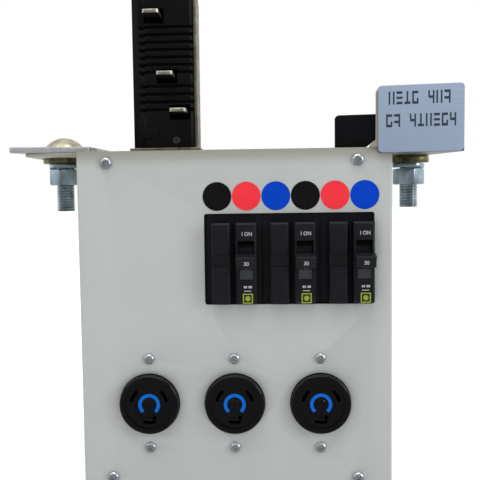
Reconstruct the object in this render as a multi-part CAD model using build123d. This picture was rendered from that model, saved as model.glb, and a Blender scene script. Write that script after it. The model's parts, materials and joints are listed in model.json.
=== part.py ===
"""Busway plug-in distribution box: three 2-pole breakers, three locking receptacles, stab contacts on top.

Millimetres.  X to the right, Y away from the viewer, Z up.  The origin is the centre of the
enclosure's bottom face.  The front cover looks along -Y; `deep(d)` is the y of a plane d behind it.
"""
from build123d import *
import math
import os

os.makedirs("parts", exist_ok=True)

# ---------------------------------------------------------------- enclosure
WIDTH = 207.4            # over the front cover
HEIGHT = 227.7           # bottom face to top face
DEPTH = 110.0            # front cover face to back wall face
SHEET = 1.5              # cover and tray sheet
TOP_SHEET = 2.4          # top plate and its ears
BEND = 2.0               # outer bend radius of the folded sheet
SLIP = 0.2               # gap between cover flange and tray side
FLANGE = 7.5             # depth of the cover's side flanges
LIP = 16.0               # height of the return lips that take the cover screws
COVER_SCREW_LEFT = 19.8  # in from the left edge
COVER_SCREW_RIGHT = 22.6 # in from the right edge
COVER_SCREW_EDGE = 8.0   # from the top and bottom edges
COVER_SCREW_X = (-WIDTH / 2 + COVER_SCREW_LEFT, WIDTH / 2 - COVER_SCREW_RIGHT)
# ---------------------------------------------------------------- fits
HOLE_GAP = 0.05          # radial, screw in its tapped hole and lead in its lug
FREE_GAP = 0.3           # radial or side gap round loose and moving pieces
PIVOT_GAP = 0.06         # radial, running fit of pins
# ---------------------------------------------------------------- stickers
DOT_R = 9.45
DOT_PITCH = 19.3
DOT_FIRST_X = -10.9
DOT_DROP = 30.7          # below the top face
DOT_Z = HEIGHT - DOT_DROP
DOT_T = 0.15
# ---------------------------------------------------------------- breakers
POLE_PITCH = 19.05       # one pole
POLE_W = POLE_PITCH - 0.15
POLE_H = 79.0
POLE_FIRST_X = -10.2     # centre of the first pole
BREAKER_DROP = 72.1      # centre of window and breakers below the top face
BREAKER_Z = HEIGHT - BREAKER_DROP
SHOULDER = 3.0           # depth of the case shoulder behind the cover face
CASE_BACK = 61.0         # depth of the case back
NOSE = 8.0               # the noses stand this far in front of the cover face
NOSE_LOW = 28.6          # nose end below the breaker centre
NOSE_HIGH = 24.2         # nose end above the breaker centre
BLANK_NOSE_W = 12.2
BLANK_NOSE_SHIFT = 1.7
SWITCH_NOSE_W = 13.7
SWITCH_NOSE_SHIFT = -0.85
NOSE_BEVEL = 1.3
SADDLE = 1.5
WINDOW_LEFT = 9.45       # window edge left of the first pole centre
WINDOW_RIGHT = 6.8       # window edge right of the last pole centre
WINDOW_H = 60.2
# handle
PIVOT_DEPTH = 5.0
PIVOT_RISE = 4.4         # above the breaker centre
HANDLE_TILT = 15.0       # each side of straight out
DRUM_R = 9.0
DRUM_W = 10.0
TRUNNION_R = 2.0
TRUNNION_W = 14.0
STEM_T = 5.0
PADDLE_IN = 15.0
PADDLE_OUT = 22.6
PADDLE_W = 13.0
PADDLE_T = 7.6
TRIP_W, TRIP_H, TRIP_DROP = 7.8, 6.2, 9.5
TAG_SIDE, TAG_DROP = 6.6, 25.3
# ---------------------------------------------------------------- breaker internals and bus
JAW_RISE = 27.4
JAW_H = 12.0
JAW_LEAF = 0.8
STAB_T = 2.0
LUG_DEPTH = 39.0
LUG_W = 9.0
BAR_DEPTH = 84.0
BAR_T = 3.0
BAR_H = 10.0
BAR_STEP = 13.0
BAR_RISE = 30.4          # middle bar above the breaker centre
BAR_MID_Z = BREAKER_Z + BAR_RISE
LEVEL_LEFT, LEVEL_RIGHT = 16.0, 10.0   # cross runs of the load leads below the breakers
LEAD_R = 2.1             # load and ground leads
LINE_R = 2.75            # line leads
# ---------------------------------------------------------------- receptacles
REC_MID_X = -0.9
REC_SPACE = 6.2          # between neighbouring straps
REC_Z = 58.9
REC_SCREW = 30.15        # each side of the centre
REC_R = 19.9
REC_PROUD = 5.0
REC_RIM = 3.9            # width of the raised rim
REC_DISH = 1.2
STRAP_R = REC_R + 5.6
STRAP_T = 1.6
BODY_R = REC_R + 3.6
REC_PITCH = 2 * STRAP_R + REC_SPACE
BODY_BACK = 38.0
SLOT_R = 12.0
SLOT_W = 2.2
SLOT_HALF = 20.0         # degrees
RING_R = 6.2
RING_W = 2.2
RING_OPEN = 82.0         # degrees, open at the bottom
HOT_X, HOT_Z = 7.5, 5.0
EARTH_Z = -11.0
# ---------------------------------------------------------------- stab contacts
STAB_TALL = 104.3        # above the top face
STAB_TOP = HEIGHT + STAB_TALL
STAB_FRONT = 8.0
STAB_BACK = 54.0
STAB_LEFT = -67.3
STAB_STEP1 = -63.0
STAB_STEP2 = -57.7
STAB_RIGHT = -25.8
STAB_STEP = 4.0
BRACKET_T = 2.0
BLADE_W = 10.2
BLADE_T = 2.3
BLADE_OUT = 14.0
BLADES = ((-51.7, HEIGHT + 88.5), (-43.4, HEIGHT + 49.3), (-35.2, HEIGHT + 25.6))
CHANNEL_X = (BLADES[0][0] - 5.3, BLADES[2][0] + 5.2)
LEAD_DEPTH = 46.0        # line leads in the housing
POCKET_W, POCKET_H, POCKET_DEEP = 13.8, 9.6, 12.0
GROOVE_W, GROOVE_DEEP = 2.0, 3.0
UPPER_GROOVES, UPPER_MID, UPPER_PITCH = 7, HEIGHT + 66.5, 4.9
LOWER_GROOVES, LOWER_MID, LOWER_PITCH = 4, HEIGHT + 34.9, 5.15
# ---------------------------------------------------------------- hangers
BOLT_OUT = 18.3          # bolt axis outside the enclosure side
BOLT_X = WIDTH / 2 + BOLT_OUT
BOLT_DEPTH = 40.0
BOLT_R = 6.35            # 1/2 in carriage bolt
BOLT_LEN = 43.8
DOME_R, DOME_H = 14.3, 8.2
EAR_X = BOLT_X + 18.6
EAR_HALF = 32.0
PLATE_T = 4.0
PLATE_GAP = 0.1          # under and over the plate that turns
LEFT_TURN = 7.4
RIGHT_TURN = -8.5
LABEL_T = 1.6
LABEL_LEFT, LABEL_RIGHT = -21.8, 31.6
LABEL_OUT = 46.8
LABEL_TOP = HEIGHT + 38.6
WASHER_T = 3.4           # left washer
WASHER_PAIR_T = 4.6      # the two thin ones on the right
WASHER_R = 15.0
LOCK_R, LOCK_T = 11.1, 4.2
FREE_R = BOLT_R - 0.16   # free end below the nut: a made-up step that sets it apart from the shank
LEFT_NUT_TURN, RIGHT_NUT_TURN = 26.0, -21.0
NUT_AF, NUT_H = 19.05, 11.1


def deep(d):
    return -DEPTH / 2 + d


def block(x0, x1, d0, d1, z0, z1):
    """Box between two x, two depths behind the cover face and two z."""
    return Pos((x0 + x1) / 2, (deep(d0) + deep(d1)) / 2, (z0 + z1) / 2) * Box(x1 - x0, d1 - d0, z1 - z0)


def rod_y(x, z, r, d0, d1):
    """Cylinder along Y between two depths."""
    return Pos(x, (deep(d0) + deep(d1)) / 2, z) * Rot(90, 0, 0) * Cylinder(r, d1 - d0)


def rod_z(x, d, r, z0, z1):
    """Upright cylinder."""
    return Pos(x, deep(d), (z0 + z1) / 2) * Cylinder(r, z1 - z0)


def rod_x(x0, x1, d, z, r):
    """Cylinder along X."""
    return Pos((x0 + x1) / 2, deep(d), z) * Rot(0, 90, 0) * Cylinder(r, x1 - x0)


def join(items):
    items = list(items)
    out = items[0]
    for item in items[1:]:
        out = out + item
    return out


def save(shape, node):
    export_step(shape, "parts/" + node + ".step")


def group(items, node):
    items = list(items)
    save(Compound(children=items) if len(items) > 1 else items[0], node)


def pan_screw(x, z, head_r, head_h, shank_r, length, face=0.0):
    """Pan head screw driven towards +Y, head on the plane `face` deep."""
    head = rod_y(x, z, head_r, face - head_h, face)
    front = head.edges().filter_by(GeomType.CIRCLE).sort_by(Axis.Y)[0]
    head = fillet(front, head_h * 0.6)
    return head + rod_y(x, z, shank_r, face, face + length)


# ================================================================ enclosure
TRAY_HALF = WIDTH / 2 - SHEET - SLIP
TOP_LOW = HEIGHT - TOP_SHEET


def back_tray():
    outer = block(-TRAY_HALF, TRAY_HALF, SHEET, DEPTH, 0, TOP_LOW)
    rear = outer.edges().filter_by(Axis.Z).group_by(Axis.Y)[-1]
    outer = fillet(rear, BEND)
    inner = block(-TRAY_HALF + SHEET, TRAY_HALF - SHEET, 0, DEPTH - SHEET, SHEET, TOP_LOW + 5)
    tray = outer - inner
    tray = tray + block(-TRAY_HALF + SHEET, TRAY_HALF - SHEET, SHEET, 2 * SHEET, 0, LIP)
    for x in COVER_SCREW_X:
        tray = tray - rod_y(x, COVER_SCREW_EDGE, 2.0 + HOLE_GAP, 0, 10)
    return tray


def top_plate():
    plate = block(-TRAY_HALF, TRAY_HALF, SHEET, DEPTH, TOP_LOW, HEIGHT)
    ears = block(-EAR_X, EAR_X, BOLT_DEPTH - EAR_HALF, BOLT_DEPTH + EAR_HALF, TOP_LOW, HEIGHT)
    corners = ears.edges().filter_by(Axis.Z)
    plate = plate + fillet(corners, 3.0)
    plate = plate + block(-TRAY_HALF + SHEET + 1, TRAY_HALF - SHEET - 1, SHEET, SHEET + TOP_SHEET,
                          HEIGHT - LIP, TOP_LOW)
    for x in COVER_SCREW_X:
        plate = plate - rod_y(x, HEIGHT - COVER_SCREW_EDGE, 2.0 + HOLE_GAP, 0, 10)
    for side in (-1, 1):
        plate = plate - rod_z(side * BOLT_X, BOLT_DEPTH, BOLT_R + FREE_GAP, TOP_LOW - 1, HEIGHT + 1)
    plate = plate - lead_hole(TOP_LOW - 1, HEIGHT + 1)
    for x, d in FOOT_SCREWS:
        plate = plate - rod_z(x, d, 2.0 + FREE_GAP, TOP_LOW - 1, HEIGHT + 1)
    return plate


def lead_hole(z0, z1):
    hole = block(*CHANNEL_X, LEAD_DEPTH - 6.0, LEAD_DEPTH + 6.0, z0, z1)
    return fillet(hole.edges().filter_by(Axis.Z), 4.0)


FOOT_SCREWS = ((STAB_STEP1 + 0.5, 34.0), (-42.0, 26.0), (STAB_RIGHT - 5.0, 31.0))


def front_cover():
    pan = block(-WIDTH / 2, WIDTH / 2, 0, FLANGE, 0, HEIGHT)
    pan = fillet(pan.edges().filter_by(Axis.Z).group_by(Axis.Y)[0], BEND)
    pan = pan - block(-WIDTH / 2 + SHEET, WIDTH / 2 - SHEET, SHEET, FLANGE + 1, -1, HEIGHT + 1)
    window = block(pole_x(0) - WINDOW_LEFT, pole_x(5) + WINDOW_RIGHT, -1, SHEET + 1,
                   BREAKER_Z - WINDOW_H / 2, BREAKER_Z + WINDOW_H / 2)
    pan = pan - fillet(window.edges().filter_by(Axis.Y), 1.6)
    for x in COVER_SCREW_X:
        for z in (COVER_SCREW_EDGE, HEIGHT - COVER_SCREW_EDGE):
            pan = pan - rod_y(x, z, 2.0 + FREE_GAP, -1, SHEET + 1)
    for x in rec_xs():
        pan = pan - rod_y(x, REC_Z, REC_R + 0.4, -1, SHEET + 1)
        for z in (REC_Z - REC_SCREW, REC_Z + REC_SCREW):
            pan = pan - rod_y(x, z, 1.7 + FREE_GAP, -1, SHEET + 1)
    return pan


def cover_screws():
    return [pan_screw(x, z, 4.0, 2.3, 2.0, 9.0)
            for x in COVER_SCREW_X for z in (COVER_SCREW_EDGE, HEIGHT - COVER_SCREW_EDGE)]


def rec_xs():
    return [REC_MID_X + i * REC_PITCH for i in (-1, 0, 1)]


def receptacle_screws():
    return [pan_screw(x, z, 3.6, 2.0, 1.7, 8.0)
            for x in rec_xs() for z in (REC_Z - REC_SCREW, REC_Z + REC_SCREW)]


def dots(indexes):
    return [rod_y(DOT_FIRST_X + i * DOT_PITCH, DOT_Z, DOT_R, -DOT_T, 0) for i in indexes]


# ================================================================ breakers
def pole_x(i):
    return POLE_FIRST_X + i * POLE_PITCH


def pole_case(x, nose_w, nose_shift):
    """Moulded case of one pole: body, bevelled nose, jaw mouth at the back and lug mouth below."""
    body = block(x - POLE_W / 2, x + POLE_W / 2, SHOULDER, CASE_BACK, BREAKER_Z - POLE_H / 2,
                 BREAKER_Z + POLE_H / 2)
    body = chamfer(body.edges().filter_by(Axis.X), 1.5)
    nx = x + nose_shift
    nose = block(nx - nose_w / 2, nx + nose_w / 2, -NOSE, SHOULDER + 1, BREAKER_Z - NOSE_LOW,
                 BREAKER_Z + NOSE_HIGH)
    nose = chamfer(nose.edges().group_by(Axis.Y)[0], NOSE_BEVEL)
    case = body + nose
    jaw_z = BREAKER_Z + JAW_RISE
    case = case - block(x - 3.4, x + 3.4, 45.0, CASE_BACK + 1, jaw_z - 7.5, jaw_z + 7.5)
    low = BREAKER_Z - POLE_H / 2
    case = case - block(x - 5.2, x + 5.2, LUG_DEPTH - 8.5, LUG_DEPTH + 6.0, low - 1, low + 14.5)
    case = case - rod_y(x, low + 8.0, 3.2, SHOULDER - 1, LUG_DEPTH - 8.0)
    return case


def blank_pole(i):
    x = pole_x(2 * i)
    case = pole_case(x, BLANK_NOSE_W, BLANK_NOSE_SHIFT)
    pivot_z = BREAKER_Z + PIVOT_RISE
    return case - block(x - POLE_W / 2 - 1, x + POLE_W / 2 + 1, -NOSE - 1, -NOSE + SADDLE,
                        pivot_z - 9.3, pivot_z - 0.6)


def switch_pole(i):
    x = pole_x(2 * i + 1)
    nx = x + SWITCH_NOSE_SHIFT
    case = pole_case(x, SWITCH_NOSE_W, SWITCH_NOSE_SHIFT)
    pivot_z = BREAKER_Z + PIVOT_RISE
    half = DRUM_W / 2 + FREE_GAP
    slot = block(nx - half, nx + half, -NOSE - 1, PIVOT_DEPTH, pivot_z - 8.0, pivot_z + 8.0)
    well = rod_x(nx - half, nx + half, PIVOT_DEPTH, pivot_z, DRUM_R + 0.6)
    pins = rod_x(nx - TRUNNION_W / 2 - FREE_GAP, nx + TRUNNION_W / 2 + FREE_GAP, PIVOT_DEPTH, pivot_z,
                 TRUNNION_R + PIVOT_GAP)
    case = case - slot - well - pins
    trip_z = BREAKER_Z - TRIP_DROP
    return case - block(nx - TRIP_W / 2 - HOLE_GAP, nx + TRIP_W / 2 + HOLE_GAP, -NOSE - 1, -NOSE + 0.8,
                        trip_z - TRIP_H / 2 - HOLE_GAP, trip_z + TRIP_H / 2 + HOLE_GAP)


def handle(i):
    """Handle in its OFF place: tilted down by HANDLE_TILT about its trunnions."""
    nx = pole_x(2 * i + 1) + SWITCH_NOSE_SHIFT
    drum = Rot(0, 90, 0) * Cylinder(DRUM_R, DRUM_W)
    pins = Rot(0, 90, 0) * Cylinder(TRUNNION_R, TRUNNION_W)
    stem = Pos(0, -(PADDLE_IN + 1) / 2, 0) * Box(DRUM_W - 0.4, PADDLE_IN + 1, STEM_T)
    paddle = Pos(0, -(PADDLE_IN + PADDLE_OUT) / 2, 0) * Box(PADDLE_W, PADDLE_OUT - PADDLE_IN, PADDLE_T)
    paddle = fillet(paddle.edges().group_by(Axis.Y)[0], 1.0)
    lever = drum + pins + stem + paddle
    return Pos(nx, deep(PIVOT_DEPTH), BREAKER_Z + PIVOT_RISE) * Rot(HANDLE_TILT, 0, 0) * lever


def trip_window(i):
    nx = pole_x(2 * i + 1) + SWITCH_NOSE_SHIFT
    z = BREAKER_Z - TRIP_DROP
    return block(nx - TRIP_W / 2, nx + TRIP_W / 2, -NOSE + 0.2, -NOSE + 0.8, z - TRIP_H / 2, z + TRIP_H / 2)


def rating_tag(i):
    nx = pole_x(2 * i + 1) + SWITCH_NOSE_SHIFT + 0.8
    z = BREAKER_Z - TAG_DROP + 0.2
    return block(nx - TAG_SIDE / 2, nx + TAG_SIDE / 2, -NOSE - 0.15, -NOSE, z - TAG_SIDE / 2, z + TAG_SIDE / 2)


def line_jaw(p):
    """Spring jaw that grips one bus tab."""
    x, z = pole_x(p), BREAKER_Z + JAW_RISE
    gap = STAB_T / 2 + HOLE_GAP
    leaves = [block(x + s * (gap + JAW_LEAF / 2) - JAW_LEAF / 2, x + s * (gap + JAW_LEAF / 2) + JAW_LEAF / 2,
                    46.0, 59.5, z - JAW_H / 2, z + JAW_H / 2) for s in (-1, 1)]
    base = block(x - gap - JAW_LEAF, x + gap + JAW_LEAF, 45.0, 46.0, z - JAW_H / 2, z + JAW_H / 2)
    return join(leaves + [base])


def load_lug(p):
    x, low = pole_x(p), BREAKER_Z - POLE_H / 2
    lug = block(x - LUG_W / 2, x + LUG_W / 2, LUG_DEPTH - 7.5, LUG_DEPTH + 4.5, low + 1.5, low + 13.5)
    lug = lug - rod_z(x, LUG_DEPTH, LEAD_R + HOLE_GAP, low, low + 11.0)
    return lug - rod_y(x, low + 8.0, 2.4 + HOLE_GAP, LUG_DEPTH - 9, LUG_DEPTH)


def lug_screw(x, z, depth_end):
    """Slotted set screw along Y whose point ends at `depth_end`."""
    screw = rod_y(x, z, 2.4, depth_end - 8.5, depth_end)
    return screw - block(x - 2.5, x + 2.5, depth_end - 9, depth_end - 7.3, z - 0.4, z + 0.4)


def lug_screws():
    low = BREAKER_Z - POLE_H / 2
    out = [lug_screw(pole_x(p), low + 8.0, LUG_DEPTH - LEAD_R - HOLE_GAP) for p in range(6)]
    return out + [lug_screw(x, EARTH_BAR_Z, EARTH_BAR_DEPTH - LEAD_R - HOLE_GAP) for x in EARTH_XS]


# ================================================================ inside the enclosure
BAR_X = (BLADES[0][0] - 6.3, pole_x(5) + 6.9)
RAIL_X = (POLE_FIRST_X - 12.0, POLE_FIRST_X + 5 * POLE_PITCH + 11.0)


def breaker_rail():
    low = BREAKER_Z - POLE_H / 2
    front = block(*RAIL_X, CASE_BACK, CASE_BACK + SHEET, low - 2, low + 14)
    web = block(*RAIL_X, CASE_BACK, DEPTH - SHEET, low + 12.5, low + 14)
    foot = block(*RAIL_X, DEPTH - 2 * SHEET, DEPTH - SHEET, low + 12.5, low + 28)
    return front + web + foot


def bar_z(k):
    return BAR_MID_Z + (k - 1) * BAR_STEP


def bus_support():
    base = block(BAR_X[0] - 2, BAR_X[1] + 2, BAR_DEPTH + BAR_T, BAR_DEPTH + 13, bar_z(0) - 10, bar_z(2) + 10)
    legs = [block(x - 5, x + 5, BAR_DEPTH + 13, DEPTH - SHEET, bar_z(0) - 10, bar_z(2) + 10)
            for x in (BAR_X[0] + 5, BAR_X[1] - 5)]
    ribs = [block(BAR_X[0] - 2, BAR_X[1] + 2, BAR_DEPTH + 0.4, BAR_DEPTH + BAR_T, z - 0.8, z + 0.8)
            for z in ((bar_z(0) + bar_z(1)) / 2, (bar_z(1) + bar_z(2)) / 2)]
    out = join([base] + legs + ribs)
    for x, z in bus_screw_spots():
        out = out - rod_y(x, z, 2.0 + HOLE_GAP, BAR_DEPTH, BAR_DEPTH + 12.5)
    return out


PHASE_POLES = ((0, 3), (1, 4), (2, 5))


def bus_bar(k):
    """One phase: bar, two tabs that reach into the breaker jaws, and the lug of the line lead."""
    z = bar_z(k)
    jaw_z = BREAKER_Z + JAW_RISE
    bar = block(*BAR_X, BAR_DEPTH, BAR_DEPTH + BAR_T, z - BAR_H / 2, z + BAR_H / 2)
    for p in PHASE_POLES[k]:
        x = pole_x(p)
        bar = bar + block(x - STAB_T / 2, x + STAB_T / 2, BAR_DEPTH - 8, BAR_DEPTH - 2,
                          min(z, jaw_z) - BAR_H / 2, max(z, jaw_z) + BAR_H / 2)
        bar = bar + block(x - STAB_T / 2, x + STAB_T / 2, BAR_DEPTH - 3, BAR_DEPTH + 1, z - BAR_H / 2, z + BAR_H / 2)
        bar = bar + block(x - STAB_T / 2, x + STAB_T / 2, 49.0, BAR_DEPTH - 7, jaw_z - BAR_H / 2,
                          jaw_z + BAR_H / 2)
    lx = BLADES[k][0]
    bar = bar + block(lx - 3.8, lx + 3.8, BAR_DEPTH - 10, BAR_DEPTH, z - 4.6, z + 4.6)
    bar = bar - rod_y(lx, z, LINE_R + HOLE_GAP, BAR_DEPTH - 11, BAR_DEPTH - 1)
    for x, sz in bus_screw_spots():
        if abs(sz - z) < 1:
            bar = bar - rod_y(x, z, 2.0 + FREE_GAP, BAR_DEPTH - 1, BAR_DEPTH + BAR_T + 1)
    return bar


def bus_screw_spots():
    return [(x, bar_z(k)) for k in range(3) for x in (BAR_X[0] + 32.0, (pole_x(4) + pole_x(5)) / 2)]


def bus_screws():
    return [pan_screw(x, z, 3.4, 1.8, 2.0, 12.0, face=BAR_DEPTH) for x, z in bus_screw_spots()]


EARTH_BAR_DEPTH = DEPTH - 7.5
EARTH_BAR_Z = 21.0
EARTH_XS = (-14.0, 5.0, 24.0)


def ground_bar():
    bar = block(-24.0, 34.0, EARTH_BAR_DEPTH - 5.5, DEPTH - SHEET, EARTH_BAR_Z - 5, EARTH_BAR_Z + 5)
    for x in EARTH_XS:
        bar = bar - rod_z(x, EARTH_BAR_DEPTH, LEAD_R + HOLE_GAP, EARTH_BAR_Z - 3, EARTH_BAR_Z + 6)
        bar = bar - rod_y(x, EARTH_BAR_Z, 2.4 + HOLE_GAP, EARTH_BAR_DEPTH - 7, EARTH_BAR_DEPTH)
    return bar


def lead(points, radius, bends):
    """Round lead through `points` with a tangent arc of the listed radius at each inner corner."""
    points = [(x, deep(d), z) for x, d, z in points]
    path = FilletPolyline(*points, radius=bends) if len(points) > 3 else FilletPolyline(*points, radius=bends[0])
    start = Plane(origin=points[0], z_dir=Vector(*points[1]) - Vector(*points[0]))
    solid = sweep(start * Circle(radius), path=path)
    share = solid.volume / (math.pi * radius ** 2 * path.length)
    print("lead length %.1f radii %s volume share %.4f" % (path.length, bends, share))
    return solid


def load_lead(p):
    """From the lug of pole p down, across and forward into its receptacle."""
    x0 = pole_x(p)
    side = -1 if p % 2 == 0 else 1
    x1 = rec_xs()[p // 2] + side * HOT_X
    low = BREAKER_Z - POLE_H / 2
    level = low - (LEVEL_LEFT if side < 0 else LEVEL_RIGHT)
    return lead([(x0, LUG_DEPTH, low + 10.0), (x0, LUG_DEPTH, level), (x1, 58.0, level),
                 (x1, 58.0, REC_Z + HOT_Z), (x1, BODY_BACK - 7, REC_Z + HOT_Z)], LEAD_R, [8.0, 8.0, 10.0])


def line_lead(k):
    x, z = BLADES[k]
    return lead([(x, LEAD_DEPTH, z - 4.0), (x, LEAD_DEPTH, bar_z(k)), (x, BAR_DEPTH - 2, bar_z(k))], LINE_R, [14.0])


def ground_lead(i):
    x0, x1, z1 = EARTH_XS[i], rec_xs()[i], REC_Z + EARTH_Z
    return lead([(x0, EARTH_BAR_DEPTH, EARTH_BAR_Z - 2), (x0, EARTH_BAR_DEPTH, z1), (x1, 76.0, z1),
                 (x1, BODY_BACK - 7, z1)], LEAD_R, [9.0, 12.0])


# ================================================================ receptacles
SLOTS = (150.0, 30.0, 270.0)


def sector(x, r0, r1, mid, half, d0, d1):
    """Part of a ring about the receptacle axis, `half` degrees each side of `mid`."""
    pts = [(0, 0)] + [(60 * math.cos(math.radians(mid + s * half)), 60 * math.sin(math.radians(mid + s * half)))
                      for s in (-1, -0.33, 0.33, 1)]
    wedge = make_face(Polyline(*pts, close=True))
    ring = Circle(r1) - Circle(r0)
    flat = ring & wedge
    plane = Plane(origin=(x, deep(d1), REC_Z), x_dir=(1, 0, 0), z_dir=(0, -1, 0))
    return extrude(plane * flat, d1 - d0)


def receptacle_face(i):
    x = rec_xs()[i]
    face = rod_y(x, REC_Z, REC_R, -REC_PROUD, SHEET + STRAP_T + 1)
    front = face.edges().filter_by(GeomType.CIRCLE).sort_by(Axis.Y)[0]
    face = fillet(front, 1.8)
    face = face + rod_y(x, REC_Z, REC_R + 2.6, SHEET + STRAP_T, SHEET + STRAP_T + 1.9)
    dish = rod_y(x, REC_Z, REC_R - REC_RIM, -REC_PROUD - 1, -REC_PROUD + REC_DISH)
    hub = rod_y(x, REC_Z, SLOT_R - SLOT_W / 2 - 1.6, -REC_PROUD - 1, -REC_PROUD + REC_DISH + 0.6)
    face = face - dish - hub
    for mid in SLOTS:
        face = face - sector(x, SLOT_R - SLOT_W / 2, SLOT_R + SLOT_W / 2, mid, SLOT_HALF, -REC_PROUD - 1, 8)
    hook_x = x + SLOT_R * math.cos(math.radians(270 + SLOT_HALF - 3))
    hook_z = REC_Z + (SLOT_R - 2.0) * math.sin(math.radians(270 + SLOT_HALF - 3))
    return face - block(hook_x - 1.0, hook_x + 1.0, -REC_PROUD - 1, 8, hook_z - 0.6, hook_z + 2.2)


BODY_FRONT = SHEET + STRAP_T + 1.9


def receptacle_body(x):
    body = rod_y(x, REC_Z, BODY_R, BODY_FRONT, BODY_BACK)
    rear = body.edges().filter_by(GeomType.CIRCLE).sort_by(Axis.Y)[-1]
    body = fillet(rear, 2.0)
    for mid in SLOTS:
        body = body - sector(x, SLOT_R - 2.1, SLOT_R + 2.1, mid, SLOT_HALF + 4, BODY_FRONT - 1, 28.0)
    for dx, dz in ((-HOT_X, HOT_Z), (HOT_X, HOT_Z), (0, EARTH_Z)):
        body = body - rod_y(x + dx, REC_Z + dz, LEAD_R + HOLE_GAP, BODY_BACK - 7.5, BODY_BACK + 1)
    for dx, dz in TERMINALS:
        body = body - rod_y(x + dx, REC_Z + dz, 1.8 + HOLE_GAP, BODY_BACK - 9, BODY_BACK + 1)
    return body


TERMINALS = ((-16.0, 6.0), (16.0, 6.0), (0.0, -17.0))


def receptacle_strap(x):
    ring = rod_y(x, REC_Z, STRAP_R, SHEET, SHEET + STRAP_T)
    reach = REC_SCREW + 7.0
    bar = block(x - 9, x + 9, SHEET, SHEET + STRAP_T, REC_Z - reach, REC_Z + reach)
    bar = fillet(bar.edges().filter_by(Axis.Y), 4.0)
    strap = ring + bar - rod_y(x, REC_Z, REC_R + 0.6, 0, 5)
    for z in (REC_Z - REC_SCREW, REC_Z + REC_SCREW):
        strap = strap - rod_y(x, z, 1.7 + HOLE_GAP, 0, 5)
    return strap


def ring_mark(x):
    half = (360 - RING_OPEN) / 2
    floor = -REC_PROUD + REC_DISH + 0.6
    left = sector(x, RING_R - RING_W / 2, RING_R + RING_W / 2, 90 + half / 2, half / 2, floor - 0.2, floor)
    right = sector(x, RING_R - RING_W / 2, RING_R + RING_W / 2, 90 - half / 2, half / 2, floor - 0.2, floor)
    return left + right


def contact(x, mid):
    inner = sector(x, SLOT_R - 1.8, SLOT_R - 1.3, mid, SLOT_HALF, 7.0, 26.5)
    outer = sector(x, SLOT_R + 1.3, SLOT_R + 1.8, mid, SLOT_HALF, 7.0, 26.5)
    base = sector(x, SLOT_R - 1.8, SLOT_R + 1.8, mid, SLOT_HALF, 26.0, 28.0)
    return inner + outer + base


def terminal_screw(x, dx, dz):
    head = rod_y(x + dx, REC_Z + dz, 3.0, BODY_BACK, BODY_BACK + 2.2)
    return head + rod_y(x + dx, REC_Z + dz, 1.8, BODY_BACK - 8, BODY_BACK)


# ================================================================ stab contacts
def stab_housing():
    low = HEIGHT + BRACKET_T
    main = block(STAB_STEP2, STAB_RIGHT, STAB_FRONT, STAB_BACK, low, STAB_TOP)
    main = chamfer(main.edges().filter_by(Axis.Z).group_by(Axis.Y)[0].sort_by(Axis.X)[-1], 2.0)
    mid = block(STAB_STEP1, STAB_STEP2 + 1, STAB_FRONT + STAB_STEP, STAB_BACK, low, STAB_TOP)
    side = block(STAB_LEFT, STAB_STEP1 + 1, STAB_FRONT + 2 * STAB_STEP, STAB_BACK, low, STAB_TOP)
    body = main + mid + side
    body = body - block(*CHANNEL_X, LEAD_DEPTH - 8.0, STAB_BACK + 1, low - 1, STAB_TOP - 8)
    for x, z in BLADES:
        pocket = block(x - POCKET_W / 2, x + POCKET_W / 2, STAB_FRONT - 1, STAB_FRONT + POCKET_DEEP,
                       z - POCKET_H / 2, z + POCKET_H / 2)
        body = body - pocket
        body = body - block(x - BLADE_W / 2 - HOLE_GAP, x + BLADE_W / 2 + HOLE_GAP, STAB_FRONT, 39.0,
                            z - BLADE_T / 2 - HOLE_GAP, z + BLADE_T / 2 + HOLE_GAP)
    rows = [UPPER_MID + (k - (UPPER_GROOVES - 1) / 2) * UPPER_PITCH for k in range(UPPER_GROOVES)]
    rows += [LOWER_MID + (k - (LOWER_GROOVES - 1) / 2) * LOWER_PITCH for k in range(LOWER_GROOVES)]
    for z in rows:
        body = body - block(STAB_STEP2, STAB_RIGHT + 1, STAB_FRONT - 1, STAB_FRONT + GROOVE_DEEP,
                            z - GROOVE_W / 2, z + GROOVE_W / 2)
        body = body - block(STAB_LEFT - 1, STAB_STEP2 + 1, STAB_FRONT - 1, STAB_FRONT + GROOVE_DEEP + STAB_STEP,
                            z - GROOVE_W / 2, z + GROOVE_W / 2)
    body = body + block(-60.0, -50.0, STAB_FRONT - 0.8, STAB_FRONT + STAB_STEP + 1, HEIGHT + 8.8, HEIGHT + 15.3)
    for x, d in FOOT_SCREWS:
        body = body - rod_z(x, d, 2.0 + HOLE_GAP, low - 1, low + 9)
    return body - rod_y(STAB_SCREW[0], STAB_SCREW[1], 1.5 + HOLE_GAP, STAB_FRONT - 1, STAB_FRONT + 9)


STAB_SCREW = (-37.6, HEIGHT + 6.9)


def stab_back_cover():
    return block(STAB_LEFT, STAB_RIGHT, STAB_BACK, STAB_BACK + 2, HEIGHT + BRACKET_T, STAB_TOP - 1)


def stab_blade(k):
    """Flat blade through the housing with a crimp barrel on its tail for the line lead."""
    x, z = BLADES[k]
    blade = block(x - BLADE_W / 2, x + BLADE_W / 2, STAB_FRONT - BLADE_OUT, 38.0, z - BLADE_T / 2, z + BLADE_T / 2)
    tip = blade.edges().filter_by(Axis.Z).group_by(Axis.Y)[0]
    blade = chamfer(tip, 1.2)
    blade = chamfer(blade.edges().filter_by(Axis.X).group_by(Axis.Y)[0], 0.6)
    blade = blade + block(x - 3.8, x + 3.8, 37.0, LEAD_DEPTH, z - BLADE_T / 2, z + BLADE_T / 2)
    blade = blade + rod_z(x, LEAD_DEPTH, 3.8, z - 16.0, z + BLADE_T / 2)
    return blade - rod_z(x, LEAD_DEPTH, LINE_R + HOLE_GAP, z - 17.0, z - 3.5)


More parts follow.
